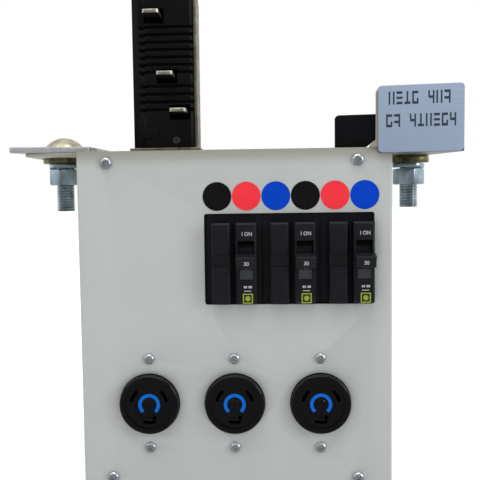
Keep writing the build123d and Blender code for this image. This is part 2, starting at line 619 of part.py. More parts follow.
def stab_bracket():
    foot = block(STAB_LEFT - 1.2, STAB_RIGHT + 4.3, 5.0, STAB_BACK + 4, HEIGHT, HEIGHT + BRACKET_T)
    side = block(STAB_RIGHT + 0.2, STAB_RIGHT + 0.2 + BRACKET_T, 10.0, 34.0, HEIGHT, STAB_TOP)
    side = chamfer(side.edges().filter_by(Axis.X).group_by(Axis.Z)[-1], 4.0)
    out = foot + side - lead_hole(HEIGHT - 1, HEIGHT + 5)
    for x, d in FOOT_SCREWS:
        out = out - rod_z(x, d, 2.0 + FREE_GAP, HEIGHT - 1, HEIGHT + 5)
    return out


def stab_screws():
    low = HEIGHT - TOP_SHEET
    out = [rod_z(x, d, 3.8, low - 2.3, low) + rod_z(x, d, 2.0, low, low + 12) for x, d in FOOT_SCREWS]
    return out + [pan_screw(STAB_SCREW[0], STAB_SCREW[1], 2.6, 1.6, 1.5, 8.0, face=STAB_FRONT)]


# ================================================================ hangers
HEAD_Z = HEIGHT + PLATE_T + 2 * PLATE_GAP


def about_bolt(side, turn, shape):
    """Put a shape drawn about the bolt axis on the left or right bolt, turned by `turn` degrees."""
    return Pos(side * BOLT_X, deep(BOLT_DEPTH), 0) * Rot(0, 0, turn) * shape


def slab(points, z0, z1):
    return Pos(0, 0, z0) * extrude(make_face(Polyline(*points, close=True)), z1 - z0)


def left_hanger_plate():
    outline = ((-31.9, -31.5), (20.6, -31.5), (30.5, 8.4), (30.5, 20.0), (-17.0, 20.0), (-17.0, 0.0))
    plate = slab(outline, HEIGHT + PLATE_GAP, HEIGHT + PLATE_GAP + PLATE_T)
    plate = plate - Pos(0, 0, HEIGHT) * Cylinder(BOLT_R + 0.08, 20)
    return about_bolt(-1, LEFT_TURN, plate)


BRACKET_OUT = LABEL_OUT - LABEL_T
BRACKET_LEFT = -23.2
BRACKET_RIGHT = 27.8


def right_hanger_bracket():
    outline = ((-27.2, -BRACKET_OUT), (BRACKET_RIGHT, -BRACKET_OUT), (BRACKET_RIGHT, -20.0), (16.0, 18.0),
               (-14.0, 18.0), (-27.2, 0.0))
    base = slab(outline, HEIGHT, HEAD_Z)
    left = base.edges().filter_by(Axis.Y).group_by(Axis.X)[0].sort_by(Axis.Z)[-1]
    base = chamfer(left, PLATE_T - 0.9)
    leg = Pos((BRACKET_LEFT + BRACKET_RIGHT) / 2, -BRACKET_OUT + PLATE_T / 2, (HEIGHT + LABEL_TOP - 1.5) / 2) * Box(
        BRACKET_RIGHT - BRACKET_LEFT, PLATE_T, LABEL_TOP - 1.5 - HEIGHT)
    leg = fillet(leg.edges().filter_by(Axis.Y).group_by(Axis.Z)[-1], 3.0)
    out = base + leg - Pos(0, 0, HEIGHT) * Cylinder(BOLT_R + FREE_GAP, 40)
    for dx in GUIDE_SCREWS:
        out = out - Pos(dx, -BRACKET_OUT + PLATE_T / 2, GUIDE_SCREW_Z) * Rot(90, 0, 0) * Cylinder(
            2.0 + FREE_GAP, PLATE_T + 2)
    return about_bolt(1, RIGHT_TURN, out)


GUIDE_SCREWS = (-16.0, 0.0)
GUIDE_SCREW_Z = HEIGHT + 15.3
GUIDE_T = 3.0
GUIDE_LEFT = -49.6
GUIDE_TOP = HEIGHT + 21.5


def instruction_bracket():
    """Angle clamped under the right ear: lower leg round the bolt, upright leg in front of the cover."""
    low = TOP_LOW - LABEL_T
    leg = Pos((LABEL_LEFT + LABEL_RIGHT) / 2, -LABEL_OUT + LABEL_T / 2, (low + LABEL_TOP) / 2) * Box(
        LABEL_RIGHT - LABEL_LEFT, LABEL_T, LABEL_TOP - low)
    leg = fillet(leg.edges().filter_by(Axis.Y).group_by(Axis.Z)[-1], 2.6)
    outline = ((LABEL_LEFT, -LABEL_OUT), (LABEL_RIGHT, -LABEL_OUT), (LABEL_RIGHT, -LABEL_OUT + 3),
               (12.0, -4.0), (12.0, 12.0), (-10.0, 12.0), (-10.0, -30.0), (LABEL_LEFT, -LABEL_OUT + 3))
    lower = slab(outline, low, low + LABEL_T)
    clear = Pos(WIDTH / 2 + 0.6 - 50, deep(50 - 1.0), low) * Box(100, 100, 40)
    lower = about_bolt(1, RIGHT_TURN, lower - Pos(0, 0, low) * Cylinder(BOLT_R + FREE_GAP, 10)) - clear
    return lower + about_bolt(1, RIGHT_TURN, leg)


def instruction_plate():
    low = TOP_LOW - LABEL_T + 0.2
    face = Pos((LABEL_LEFT + LABEL_RIGHT) / 2, -LABEL_OUT - 0.3, (low + LABEL_TOP - 0.2) / 2) * Box(
        LABEL_RIGHT - LABEL_LEFT - 0.4, 0.6, LABEL_TOP - 0.2 - low)
    face = fillet(face.edges().filter_by(Axis.Y), 2.8)
    return about_bolt(1, RIGHT_TURN, face)


def guide_plate():
    """Black plate on the back of the bracket's upright leg; its lower corner clears the bracket's base."""
    z0, z1 = HEIGHT + 0.2, HEAD_Z + 1.4
    pts = ((GUIDE_LEFT, z0), (-29.8, z0), (-28.1, z0 + 0.9), (-23.8, HEAD_Z + 0.4), (-19.7, z1), (8.0, z1),
           (8.0, GUIDE_TOP), (GUIDE_LEFT, GUIDE_TOP))
    flat = make_face(Polyline(*pts, close=True))
    back = -BRACKET_OUT + PLATE_T
    plane = Plane(origin=(0, back + GUIDE_T, 0), x_dir=(1, 0, 0), z_dir=(0, -1, 0))
    plate = extrude(plane * flat, GUIDE_T)
    corner = plate.edges().filter_by(Axis.Y).group_by(Axis.X)[0].sort_by(Axis.Z)[-1]
    plate = fillet(corner, 3.0)
    for dx in GUIDE_SCREWS:
        plate = plate - Pos(dx, back, GUIDE_SCREW_Z) * Rot(90, 0, 0) * Cylinder(2.0 + HOLE_GAP, 20)
    return about_bolt(1, RIGHT_TURN, plate)


def guide_screws():
    """Screws from behind, head on the guide plate, point flush in the bracket."""
    back = -BRACKET_OUT + PLATE_T + GUIDE_T
    out = []
    for dx in GUIDE_SCREWS:
        head = Pos(dx, back + 1.1, GUIDE_SCREW_Z) * Rot(90, 0, 0) * Cylinder(3.8, 2.2)
        shank = Pos(dx, back - 3.4, GUIDE_SCREW_Z) * Rot(90, 0, 0) * Cylinder(2.0, 6.8)
        out.append(about_bolt(1, RIGHT_TURN, head + shank))
    return out


def carriage_bolt(side):
    ball = (DOME_R ** 2 + DOME_H ** 2) / (2 * DOME_H)
    dome = Pos(0, 0, HEAD_Z + DOME_H - ball) * Sphere(ball) & Pos(0, 0, HEAD_Z + 10) * Cylinder(30, 20)
    free = nut_top(side) - NUT_H - HOLE_GAP
    end = HEAD_Z - BOLT_LEN
    shank = Pos(0, 0, (HEAD_Z + free) / 2) * Cylinder(BOLT_R, HEAD_Z - free)
    tail = Pos(0, 0, (free + end) / 2) * Cylinder(FREE_R, free - end)
    tail = chamfer(tail.edges().filter_by(GeomType.CIRCLE).sort_by(Axis.Z)[0], 0.9)
    return Pos(side * BOLT_X, deep(BOLT_DEPTH), 0) * (dome + shank + tail)


def stack_top(side):
    """Underside of what the washers bear on: the ear on the left, the instruction bracket on the right."""
    return TOP_LOW if side < 0 else TOP_LOW - LABEL_T


def washer_t(side):
    return WASHER_T if side < 0 else WASHER_PAIR_T


def nut_top(side):
    return stack_top(side) - washer_t(side) - LOCK_T


def washer(side, r_out, thick, drop):
    z = stack_top(side) - drop
    ring = Pos(0, 0, z - thick / 2) * (Cylinder(r_out, thick) - Cylinder(BOLT_R + FREE_GAP, thick + 1))
    return Pos(side * BOLT_X, deep(BOLT_DEPTH), 0) * ring


def flat_washers():
    return [washer(side, WASHER_R if side < 0 else WASHER_R - 1.1, washer_t(side), 0) for side in (-1, 1)]


def lock_washer(side):
    ring = washer(side, LOCK_R, LOCK_T, washer_t(side))
    return ring - Pos(side * BOLT_X, deep(BOLT_DEPTH) - 9, stack_top(side) - washer_t(side) - 2) * Rot(0, 25, 0) * Box(
        1.4, 12, 12)


def hex_nut(side):
    hexagon = extrude(RegularPolygon(NUT_AF / 2, 6, major_radius=False), NUT_H)
    hexagon = hexagon & Pos(0, 0, NUT_H / 2) * chamfer(Cylinder(NUT_AF / math.sqrt(3), NUT_H).edges().filter_by(
        GeomType.CIRCLE), 0.9)
    nut = hexagon - Pos(0, 0, NUT_H / 2) * Cylinder(BOLT_R + HOLE_GAP, NUT_H + 2)
    turn = LEFT_NUT_TURN if side < 0 else RIGHT_NUT_TURN
    return Pos(side * BOLT_X, deep(BOLT_DEPTH), nut_top(side) - NUT_H) * Rot(0, 0, turn) * nut


# ================================================================ write every piece
save(back_tray(), "back_tray")
save(top_plate(), "top_plate")
save(front_cover(), "front_cover")
group(cover_screws(), "cover_screws")
group(receptacle_screws(), "receptacle_screws")
group(dots((0, 3)), "phase_dots_black")
group(dots((1, 4)), "phase_dots_red")
group(dots((2, 5)), "phase_dots_blue")
for n in range(3):
    save(blank_pole(n), "breaker_%d_blank_pole" % (n + 1))
    save(switch_pole(n), "breaker_%d_switch_pole" % (n + 1))
    save(handle(n), "breaker_%d_handle" % (n + 1))
    save(receptacle_face(n), "receptacle_%d_face" % (n + 1))
group([trip_window(n) for n in range(3)], "trip_windows")
group([rating_tag(n) for n in range(3)], "rating_tags")
group([line_jaw(p) for p in range(6)], "line_jaws")
group([load_lug(p) for p in range(6)], "load_lugs")
group(lug_screws(), "lug_screws")
save(breaker_rail(), "breaker_rail")
save(bus_support(), "bus_support")
for k, phase in enumerate("abc"):
    save(bus_bar(k), "bus_bar_" + phase)
    save(stab_blade(k), "stab_blade_" + phase)
group(bus_screws(), "bus_screws")
save(ground_bar(), "ground_bar")
group([line_lead(k) for k in range(3)], "line_leads")
for colour, poles in (("black", (0, 3)), ("red", (1, 4)), ("blue", (2, 5))):
    group([load_lead(p) for p in poles], "load_leads_" + colour)
group([ground_lead(i) for i in range(3)], "ground_leads")
group([receptacle_body(x) for x in rec_xs()], "receptacle_bodies")
group([receptacle_strap(x) for x in rec_xs()], "receptacle_straps")
group([ring_mark(x) for x in rec_xs()], "ring_marks")
group([contact(x, mid) for x in rec_xs() for mid in SLOTS], "contacts")
group([terminal_screw(x, dx, dz) for x in rec_xs() for dx, dz in TERMINALS], "terminal_screws")
save(stab_housing(), "stab_housing")
save(stab_back_cover(), "stab_back_cover")
save(stab_bracket(), "stab_bracket")
group(stab_screws(), "stab_screws")
save(left_hanger_plate(), "left_hanger_plate")
save(right_hanger_bracket(), "right_hanger_bracket")
save(instruction_bracket(), "instruction_bracket")
save(instruction_plate(), "instruction_plate")
save(guide_plate(), "guide_plate")
group(guide_screws(), "guide_screws")
group([carriage_bolt(s) for s in (-1, 1)], "carriage_bolts")
group(flat_washers(), "flat_washers")
group([lock_washer(s) for s in (-1, 1)], "lock_washers")
group([hex_nut(s) for s in (-1, 1)], "hex_nuts")
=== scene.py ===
"""Studio scene of a busway plug-in power distribution box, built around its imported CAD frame."""

import enum
import json
import logging
import math
from dataclasses import dataclass
from typing import Any, Iterable, Sequence

import bmesh
import bpy
from bmesh.types import BMesh
from bpy.types import Node, NodeSocket, NodeTree
from mathutils import Matrix, Vector

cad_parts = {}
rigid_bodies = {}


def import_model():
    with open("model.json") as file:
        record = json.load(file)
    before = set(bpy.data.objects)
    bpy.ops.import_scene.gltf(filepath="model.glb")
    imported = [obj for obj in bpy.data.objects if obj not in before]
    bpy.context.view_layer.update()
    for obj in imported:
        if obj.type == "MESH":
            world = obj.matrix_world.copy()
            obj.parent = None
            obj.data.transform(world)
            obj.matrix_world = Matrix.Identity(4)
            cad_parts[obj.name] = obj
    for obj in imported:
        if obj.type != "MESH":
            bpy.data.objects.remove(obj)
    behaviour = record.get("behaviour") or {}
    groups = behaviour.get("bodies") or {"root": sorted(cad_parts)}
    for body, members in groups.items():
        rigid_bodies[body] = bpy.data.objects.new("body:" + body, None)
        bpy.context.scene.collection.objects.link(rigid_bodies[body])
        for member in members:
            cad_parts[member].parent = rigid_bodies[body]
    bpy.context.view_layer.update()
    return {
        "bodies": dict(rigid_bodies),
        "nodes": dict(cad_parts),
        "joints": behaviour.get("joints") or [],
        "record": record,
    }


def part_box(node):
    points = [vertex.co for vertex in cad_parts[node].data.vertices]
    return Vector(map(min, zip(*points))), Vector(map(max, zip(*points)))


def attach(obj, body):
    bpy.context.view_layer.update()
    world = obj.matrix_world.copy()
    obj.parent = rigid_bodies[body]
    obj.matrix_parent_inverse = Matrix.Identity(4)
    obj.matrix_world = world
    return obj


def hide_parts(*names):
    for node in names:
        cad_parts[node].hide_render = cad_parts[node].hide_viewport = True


LOG = logging.getLogger("plug_in_box")
MM = 0.001
FLAT_ANGLE = math.radians(32)


class Body(enum.Enum):
    """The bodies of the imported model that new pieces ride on."""

    ENCLOSURE = "enclosure"
    LEFT_HANGER = "left_hanger"
    HANDLE_1 = "handle_1"
    HANDLE_2 = "handle_2"
    HANDLE_3 = "handle_3"


# ------------------------------------------------------------------ colour and nodes


def linear(code: str) -> tuple[float, float, float, float]:
    """Turn an sRGB hex colour into linear RGBA.

    Args:
        code: six hex digits.

    Returns:
        The colour in linear light, with full alpha.
    """
    parts = [int(code[i : i + 2], 16) / 255 for i in (0, 2, 4)]
    made = [c / 12.92 if c <= 0.04045 else ((c + 0.055) / 1.055) ** 2.4 for c in parts]
    return (made[0], made[1], made[2], 1.0)


def add_node(
    tree: NodeTree, kind: str, links: dict[Any, Any] | None = None, **settings: Any
) -> Node:
    """Add one node with its settings and links.

    Args:
        tree: the node tree to add to.
        kind: the node's Blender type name.
        links: input name or index to an output socket or a plain value.
        settings: attributes of the node itself.

    Returns:
        The new node.
    """
    made = tree.nodes.new(kind)
    for key, value in settings.items():
        setattr(made, key, value)
    for key, value in (links or {}).items():
        if isinstance(value, NodeSocket):
            tree.links.new(value, made.inputs[key])
        else:
            made.inputs[key].default_value = value
    return made


def noise(
    tree: NodeTree, place: NodeSocket, size_mm: float, detail: float,
    distortion: float = 0.0
) -> NodeSocket:
    """Add a noise pattern.

    Args:
        tree: the material's node tree.
        place: Object coordinates.
        size_mm: size of one blot.
        detail: number of finer layers.
        distortion: how far the pattern is stirred.

    Returns:
        The pattern, 0 to 1.
    """
    made = add_node(tree, "ShaderNodeTexNoise", {
        "Vector": place, "Scale": 1 / (size_mm * MM), "Detail": detail, "Distortion": distortion})
    return made.outputs["Fac"]


def mixed(tree: NodeTree, share: NodeSocket, first: Any,
          second: Any) -> NodeSocket:
    """Mix two colours by a pattern.

    Args:
        tree: the material's node tree.
        share: the pattern.
        first: colour or socket at 0.
        second: colour or socket at 1.

    Returns:
        The mixed colour.
    """
    return add_node(tree, "ShaderNodeMix", {0: share, 6: first, 7: second}, data_type="RGBA").outputs[2]


def emboss(
    tree: NodeTree, shader: Node, height: NodeSocket, strength: float,
    depth_mm: float
) -> None:
    """Let a pattern bump the surface.

    Args:
        tree: the material's node tree.
        shader: its principled shader.
        height: the pattern.
        strength: how strong the bump is.
        depth_mm: height of the pattern.
    """
    bump = add_node(tree, "ShaderNodeBump",
                    {"Height": height, "Strength": strength, "Distance": depth_mm * MM})
    tree.links.new(bump.outputs["Normal"], shader.inputs["Normal"])


@dataclass(frozen=True)
class Finish:
    """What every finish has: a maker's name, its colour and how rough it is."""

    name: str
    colour: str
    roughness: float
    slot: str = ""
    metallic: float = 0.0
    ior: float = 1.5
    coat: float = 0.0
    specular: float = 0.5
    second: str = ""

    def material(self) -> bpy.types.Material:
        """Return the finish's material, made on first use."""
        known = bpy.data.materials.get(self.name)
        if known is not None:
            return known
        made = bpy.data.materials.new(self.name)
        made.use_nodes = True
        tree = made.node_tree
        shader = tree.nodes["Principled BSDF"]
        shader.inputs["Base Color"].default_value = linear(self.colour)
        shader.inputs["Roughness"].default_value = self.roughness
        shader.inputs["Metallic"].default_value = self.metallic
        shader.inputs["IOR"].default_value = self.ior
        shader.inputs["Coat Weight"].default_value = self.coat
        shader.inputs["Specular IOR Level"].default_value = self.specular
        place = add_node(tree, "ShaderNodeTexCoord").outputs["Object"]
        self.detail(tree, shader, place)
        return made

    def detail(self, tree: NodeTree, shader: Node, place: NodeSocket) -> None:
        """Add the finish's own pattern to its shader.

        Args:
            tree: the material's node tree.
            shader: its principled shader.
            place: Object coordinates.
        """

    def tint(self, tree: NodeTree, shader: Node, share: NodeSocket) -> None:
        """Let a 0-1 pattern move the colour from the first to the second.

        Args:
            tree: the material's node tree.
            shader: its principled shader.
            share: the pattern.
        """
        out = mixed(tree, share, linear(self.colour), linear(self.second or self.colour))
        tree.links.new(out, shader.inputs["Base Color"])

    def spread(
        self, tree: NodeTree, shader: Node, wave: NodeSocket, low: float,
        high: float
    ) -> None:
        """Let a 0-1 pattern move the roughness between two values.

        Args:
            tree: the material's node tree.
            shader: its principled shader.
            wave: the pattern.
            low: roughness at 0.
            high: roughness at 1.
        """
        span = add_node(tree, "ShaderNodeMapRange", {"Value": wave, "To Min": low, "To Max": high})
        tree.links.new(span.outputs["Result"], shader.inputs["Roughness"])


@dataclass(frozen=True)
class Enamel(Finish):
    """Baked enamel on sheet steel: an even coat with faint orange peel and cloudy handling marks."""

    second: str = "A4A69F"
    peel_mm: float = 1.6
    cloud_mm: float = 38.0
    peel: float = 0.05
    # painted shade: a darker band below the top edge, given by its top height, its depth and its colour
    shade_band_top: float = 0.0
    shade_band_mm: float = 12.0
    shade_band_colour: str = "8B897C"

    def detail(self, tree: NodeTree, shader: Node, place: NodeSocket) -> None:
        """Peel bump, cloudy colour and, where asked, a painted shade band that darkens the colour below the top
        edge.
        """
        emboss(tree, shader, noise(tree, place, self.peel_mm, 2.0), self.peel, 0.2)
        cloud = noise(tree, place, self.cloud_mm, 5.0)
        out = mixed(tree, cloud, linear(self.colour), linear(self.second))
        # painted shade and dark reflection: the colour darkens smoothly towards the top edge
        if self.shade_band_top:
            height = add_node(tree, "ShaderNodeSeparateXYZ", {"Vector": place}).outputs["Z"]
            rise = add_node(tree, "ShaderNodeMapRange", {
                "Value": height, "From Min": self.shade_band_top - self.shade_band_mm * MM, "From Max": self.shade_band_top,
                "To Min": 0.0, "To Max": 0.9}, interpolation_type="SMOOTHSTEP")
            out = mixed(tree, rise.outputs["Result"], out, linear(self.shade_band_colour))
        tree.links.new(out, shader.inputs["Base Color"])
        self.spread(tree, shader, cloud, self.roughness - 0.06, self.roughness + 0.08)


@dataclass(frozen=True)
class Plate(Finish):
    """Electroplated metal: a bright ground with soft tinted stains and fine handling scratches."""

    second: str = "8E979E"
    stain_mm: float = 5.0
    scratch_mm: float = 1.1
    scratch: float = 0.10
    metallic: float = 1.0

    def detail(self, tree: NodeTree, shader: Node, place: NodeSocket) -> None:
        """Stained tint, uneven gloss and faint scratches."""
        stain = noise(tree, place, self.stain_mm, 4.0)
        sharp = add_node(tree, "ShaderNodeMapRange", {"Value": stain, "From Min": 0.35, "From Max": 0.68})
        self.tint(tree, shader, sharp.outputs["Result"])
        self.spread(tree, shader, stain, max(self.roughness - 0.1, 0.08), self.roughness + 0.12)
        emboss(tree, shader, noise(tree, place, self.scratch_mm, 3.0, 1.5), self.scratch, 0.1)


@dataclass(frozen=True)
class Galvanised(Finish):
    """Hot-dip zinc on steel plate: large dull crystals a few millimetres across."""

    second: str = "6F7274"
    spangle_mm: float = 7.0
    metallic: float = 1.0

    def detail(self, tree: NodeTree, shader: Node, place: NodeSocket) -> None:
        """Crystal cells of slightly different grey and gloss."""
        cells = add_node(tree, "ShaderNodeTexVoronoi", {
            "Vector": place, "Scale": 1 / (self.spangle_mm * MM), "Randomness": 1.0})
        shade = add_node(tree, "ShaderNodeSeparateColor", {"Color": cells.outputs["Color"]}).outputs["Red"]
        self.tint(tree, shader, shade)
        self.spread(tree, shader, shade, self.roughness - 0.08, self.roughness + 0.12)
        emboss(tree, shader, noise(tree, place, 1.2, 4.0), 0.12, 0.1)


@dataclass(frozen=True)
class Brushed(Finish):
    """Brushed aluminium: fine parallel scratches along the plate's length, drawn coarse enough to show."""

    second: str = "93A1B4"
    line_mm: float = 0.7
    length_mm: float = 30.0
    metallic: float = 1.0

    def detail(self, tree: NodeTree, shader: Node, place: NodeSocket) -> None:
        """Noise stretched along X, used for tint, gloss and bump."""
        stretch = add_node(tree, "ShaderNodeMapping", {
            "Vector": place,
            "Scale": (1 / (self.length_mm * MM), 1 / (self.length_mm * MM), 1 / (self.line_mm * MM))})
        line = add_node(tree, "ShaderNodeTexNoise", {
            "Vector": stretch.outputs["Vector"], "Scale": 1.0, "Detail": 5.0}).outputs["Fac"]
        self.tint(tree, shader, line)
        self.spread(tree, shader, line, self.roughness - 0.08, self.roughness + 0.10)
        emboss(tree, shader, line, 0.15, 0.08)


@dataclass(frozen=True)
class Moulded(Finish):
    """Moulded plastic: an even colour, a fine spark-eroded grain and rubbed patches."""

    grain_mm: float = 0.9
    grain: float = 0.10
    rub_mm: float = 9.0

    def detail(self, tree: NodeTree, shader: Node, place: NodeSocket) -> None:
        """Grain bump, and rubbed patches that change the gloss and lift the colour a little."""
        emboss(tree, shader, noise(tree, place, self.grain_mm, 3.0), self.grain, 0.08)
        rub = noise(tree, place, self.rub_mm, 5.0)
        self.tint(tree, shader, rub)
        self.spread(tree, shader, rub, max(self.roughness - 0.1, 0.05), self.roughness + 0.1)


@dataclass(frozen=True)
class Print(Finish):
    """Screen-printed ink: flat, slightly uneven cover."""

    def detail(self, tree: NodeTree, shader: Node, place: NodeSocket) -> None:
        """Uneven ink cover at half a millimetre."""
        self.tint(tree, shader, noise(tree, place, 0.6, 4.0))


# Light grey baked enamel on cold-rolled sheet: semi-gloss, slightly cloudy, with painted shade darkening a band
# along the top edge.
GREY_ENAMEL = Enamel("grey_baked_enamel", "B1B4B2", 0.45, "painted_steel", second="ABAEAB", shade_band_top=0.2277,
                     specular=0.35)
# Beige-grey enamel of the heavier bracket.
BEIGE_ENAMEL = Enamel("beige_baked_enamel", "9C9687", 0.5, "bracket_paint", second="8B8577", specular=0.3)
# Satin black enamel on plate.
BLACK_ENAMEL = Enamel("satin_black_enamel", "111115", 0.38, "black_plate", second="0C0C10", peel=0.04,
                      specular=0.10)
# Clear (blue) passivated zinc on machine screws and rivet heads.
CLEAR_ZINC = Plate("clear_zinc_plate", "DDE0E4", 0.28, "zinc_screw", second="BCC5CC")
# Blue passivated zinc on the heavy nuts and spring washers.
BLUE_ZINC = Plate("blue_zinc_plate", "B9CBD6", 0.20, "zinc_screw", second="8FA3AE", stain_mm=9.0,
                  scratch=0.04)
# Dull dark zinc of the small screws in the contact housing.
DARK_ZINC = Plate("dark_zinc_plate", "5C6468", 0.45, "zinc_screw", second="3F464A")
# Yellow passivated zinc on the carriage bolts: straw colour with olive stains.
YELLOW_ZINC = Plate("yellow_zinc_plate", "BDBBA6", 0.30, "zinc_yellow", second="8F8C6E")
# Olive-dark heavy washers.
OLIVE_ZINC = Plate("olive_zinc_plate", "8B8860", 0.40, "zinc_yellow", second="4C4A33")
# Thread ground of the studs: clear zinc with darker stains.
THREAD_ZINC = Plate("clear_zinc_thread", "B4BDC2", 0.24, "zinc_yellow", second="8A969C", stain_mm=6.0,
                    scratch=0.05)
# Mill-finish and galvanised steel.
HOT_DIP = Galvanised("hot_dip_zinc", "C6C8CC", 0.42, "galvanised_plate", second="B0B2B6", metallic=0.6,
                     spangle_mm=5.0)
BRACKET_ZINC = Galvanised("aged_hot_dip_zinc", "8A8477", 0.5, "galvanised_plate", second="6B6558",
                          spangle_mm=5.0)
MILL_STEEL = Plate("mill_finish_steel", "9C9B97", 0.45, "plain_steel", second="7C7A75", stain_mm=12.0)
# Brushed and lacquered aluminium nameplate with a blue cast.
NAMEPLATE = Brushed("brushed_aluminium", "A6B7CD", 0.50, "nameplate", second="97A9C0", metallic=0.45)
# Tin-plated copper blades and lugs: pale, slightly warm, soft gloss.
TIN = Plate("tin_plated_copper", "CFCBBD", 0.36, "tin_copper", second="A6A190", stain_mm=4.0)
COPPER = Plate("bare_copper_bar", "C07A53", 0.35, "copper_bar", second="8E5239", stain_mm=14.0)
BRONZE = Plate("spring_bronze", "B58D57", 0.35, "bronze", second="8C6A3E", stain_mm=6.0)
# Black phenolic moulding of the breaker cases.
PHENOLIC = Moulded("black_phenolic", "151619", 0.40, "breaker_black", second="1B1C20", grain_mm=1.0,
                   specular=0.14)
HANDLE_PLASTIC = Moulded("black_handle_nylon", "18191C", 0.36, "handle_black", second="202124", specular=0.18)
# Glossy black nylon of the receptacles.
GLOSS_NYLON = Moulded("glossy_black_nylon", "08080A", 0.16, "receptacle_black", second="0B0B0E", grain=0.02,
                      rub_mm=14.0, specular=0.22)
GREY_NYLON = Moulded("dark_grey_nylon", "2A2A2C", 0.5, "receptacle_grey", second="323234")
# Glass-filled polyester moulding of the stab contact housing.
POLYESTER = Moulded("black_glass_polyester", "09090B", 0.42, "housing_black", second="0F0F12", grain_mm=1.3,
                    grain=0.16, specular=0.10)
BUS_INSULATOR = Moulded("red_brown_insulator", "7A3A2C", 0.5, "support_red", second="6A3026")
SMOKED = Moulded("smoked_window_plastic", "2B2D31", 0.12, "window_smoke", second="3A3D42", grain=0.0)
BLACK_VINYL = Moulded("black_vinyl_sticker", "101010", 0.48, "dot_black", second="151515", grain_mm=2.5,
                      specular=0.05)
RED_VINYL = Moulded("red_vinyl_sticker", "E22E39", 0.50, "dot_red", second="E63C45", grain_mm=2.5,
                    specular=0.05)
BLUE_VINYL = Moulded("blue_vinyl_sticker", "0239AE", 0.50, "dot_blue", second="043FB8", grain_mm=2.5,
                     specular=0.05)
BLACK_WIRE = Moulded("black_lead_insulation", "141414", 0.45, "wire_black", second="1D1D1D")
RED_WIRE = Moulded("red_lead_insulation", "B11E22", 0.45, "wire_red", second="9C181C")
BLUE_WIRE = Moulded("blue_lead_insulation", "1B3FA6", 0.45, "wire_blue", second="17368F")
GREEN_WIRE = Moulded("green_lead_insulation", "1E7A3A", 0.45, "wire_green", second="196830")
WHITE_INK = Print("white_ink", "C3C6CC", 0.55, "breaker_black", second="8E9198")
DIM_INK = Print("worn_white_ink", "77777A", 0.6, "breaker_black", second="4A4A4D")
SLATE_INK = Print("slate_ink", "2F3746", 0.6, "nameplate", second="3A4250", specular=0.1)
LIME_INK = Print("lime_ink", "93A023", 0.55, "tag_lime", second="7C8A1C")
TAG_GROUND = Print("dark_tag_ground", "1D200A", 0.5, "tag_lime", second="171A08")
BLUE_INK = Print("blue_ink", "075CB8", 0.4, "mark_blue", second="0862C0", specular=0.05)

CAD_FINISHES: dict[str, Finish] = {
    "back_tray": GREY_ENAMEL, "top_plate": GREY_ENAMEL, "front_cover": GREY_ENAMEL,
    "phase_dots_black": BLACK_VINYL, "phase_dots_red": RED_VINYL, "phase_dots_blue": BLUE_VINYL,
    "line_jaws": TIN, "load_lugs": TIN, "lug_screws": CLEAR_ZINC, "breaker_rail": MILL_STEEL,
    "bus_support": BUS_INSULATOR, "bus_bar_a": COPPER, "bus_bar_b": COPPER, "bus_bar_c": COPPER,
    "bus_screws": CLEAR_ZINC, "ground_bar": MILL_STEEL, "line_leads": BLACK_WIRE,
    "load_leads_black": BLACK_WIRE, "load_leads_red": RED_WIRE, "load_leads_blue": BLUE_WIRE,
    "ground_leads": GREEN_WIRE, "receptacle_bodies": GREY_NYLON, "receptacle_straps": MILL_STEEL,
    "ring_marks": BLUE_INK, "contacts": BRONZE, "terminal_screws": CLEAR_ZINC, "stab_back_cover": POLYESTER,
    "stab_blade_a": TIN, "stab_blade_b": TIN, "stab_blade_c": TIN, "stab_screws": DARK_ZINC,
    "guide_screws": CLEAR_ZINC, "trip_windows": SMOKED, "rating_tags": TAG_GROUND,
    "receptacle_1_face": GLOSS_NYLON, "receptacle_2_face": GLOSS_NYLON, "receptacle_3_face": GLOSS_NYLON,
}


# ------------------------------------------------------------------ mesh helpers


def add_block(bm: BMesh, low: Sequence[float], high: Sequence[float]) -> list[bmesh.types.BMVert]:
    """Add an upright block between two corners.

    Args:
        bm: the mesh to add to.
        low: lowest corner in metres.
        high: highest corner in metres.

    Returns:
        The block's corner vertices.
    """
    middle = (Vector(low) + Vector(high)) / 2
    size = Vector(high) - Vector(low)
    made = bmesh.ops.create_cube(bm, size=1.0,
                                 matrix=Matrix.Translation(middle) @ Matrix.Diagonal((*size, 1.0)))
    return made["verts"]


def spin_profile(bm: BMesh, profile: Iterable[tuple[float, float]], steps: int) -> None:
    """Turn a (radius, height) profile about Z into a closed round shape.

    Args:
        bm: the mesh to add to.
        profile: radius and height pairs in metres, from axis to axis.
        steps: segments in a full turn.
    """
    points = [bm.verts.new((r, 0.0, h)) for r, h in profile]
    edges = [bm.edges.new(pair) for pair in zip(points, points[1:])]
    bmesh.ops.spin(bm, geom=points + edges, cent=(0, 0, 0), axis=(0, 0, 1), dvec=(0, 0, 0), angle=math.tau,
                   steps=steps, use_merge=True, use_duplicate=False)
    bmesh.ops.remove_doubles(bm, verts=bm.verts, dist=1e-6)
    bmesh.ops.recalc_face_normals(bm, faces=bm.faces)


def soften(bm: BMesh, width_mm: float, segments: int = 2, straight_only: bool = False) -> None:
    """Round the outer sharp edges of a mesh.

    Args:
        bm: the mesh.
        width_mm: bevel width in millimetres.
        segments: bevel segments.
        straight_only: leave every edge that borders a curved face as it is.
    """
    limit = math.radians(40)
    curved: set[bmesh.types.BMFace] = set()
    if straight_only:
        curved = {f for e in bm.edges if e.is_manifold and 0.01 < e.calc_face_angle(0.0) < limit
                  for f in e.link_faces}
    sharp = [e for e in bm.edges if e.is_manifold and e.is_convex and e.calc_face_angle(0.0) > limit
             and not curved.intersection(e.link_faces)]
    bmesh.ops.bevel(bm, geom=sharp, offset=width_mm * MM, offset_type="OFFSET", affect="EDGES",
                    segments=segments,
                    profile=0.5, clamp_overlap=False, material=-1)


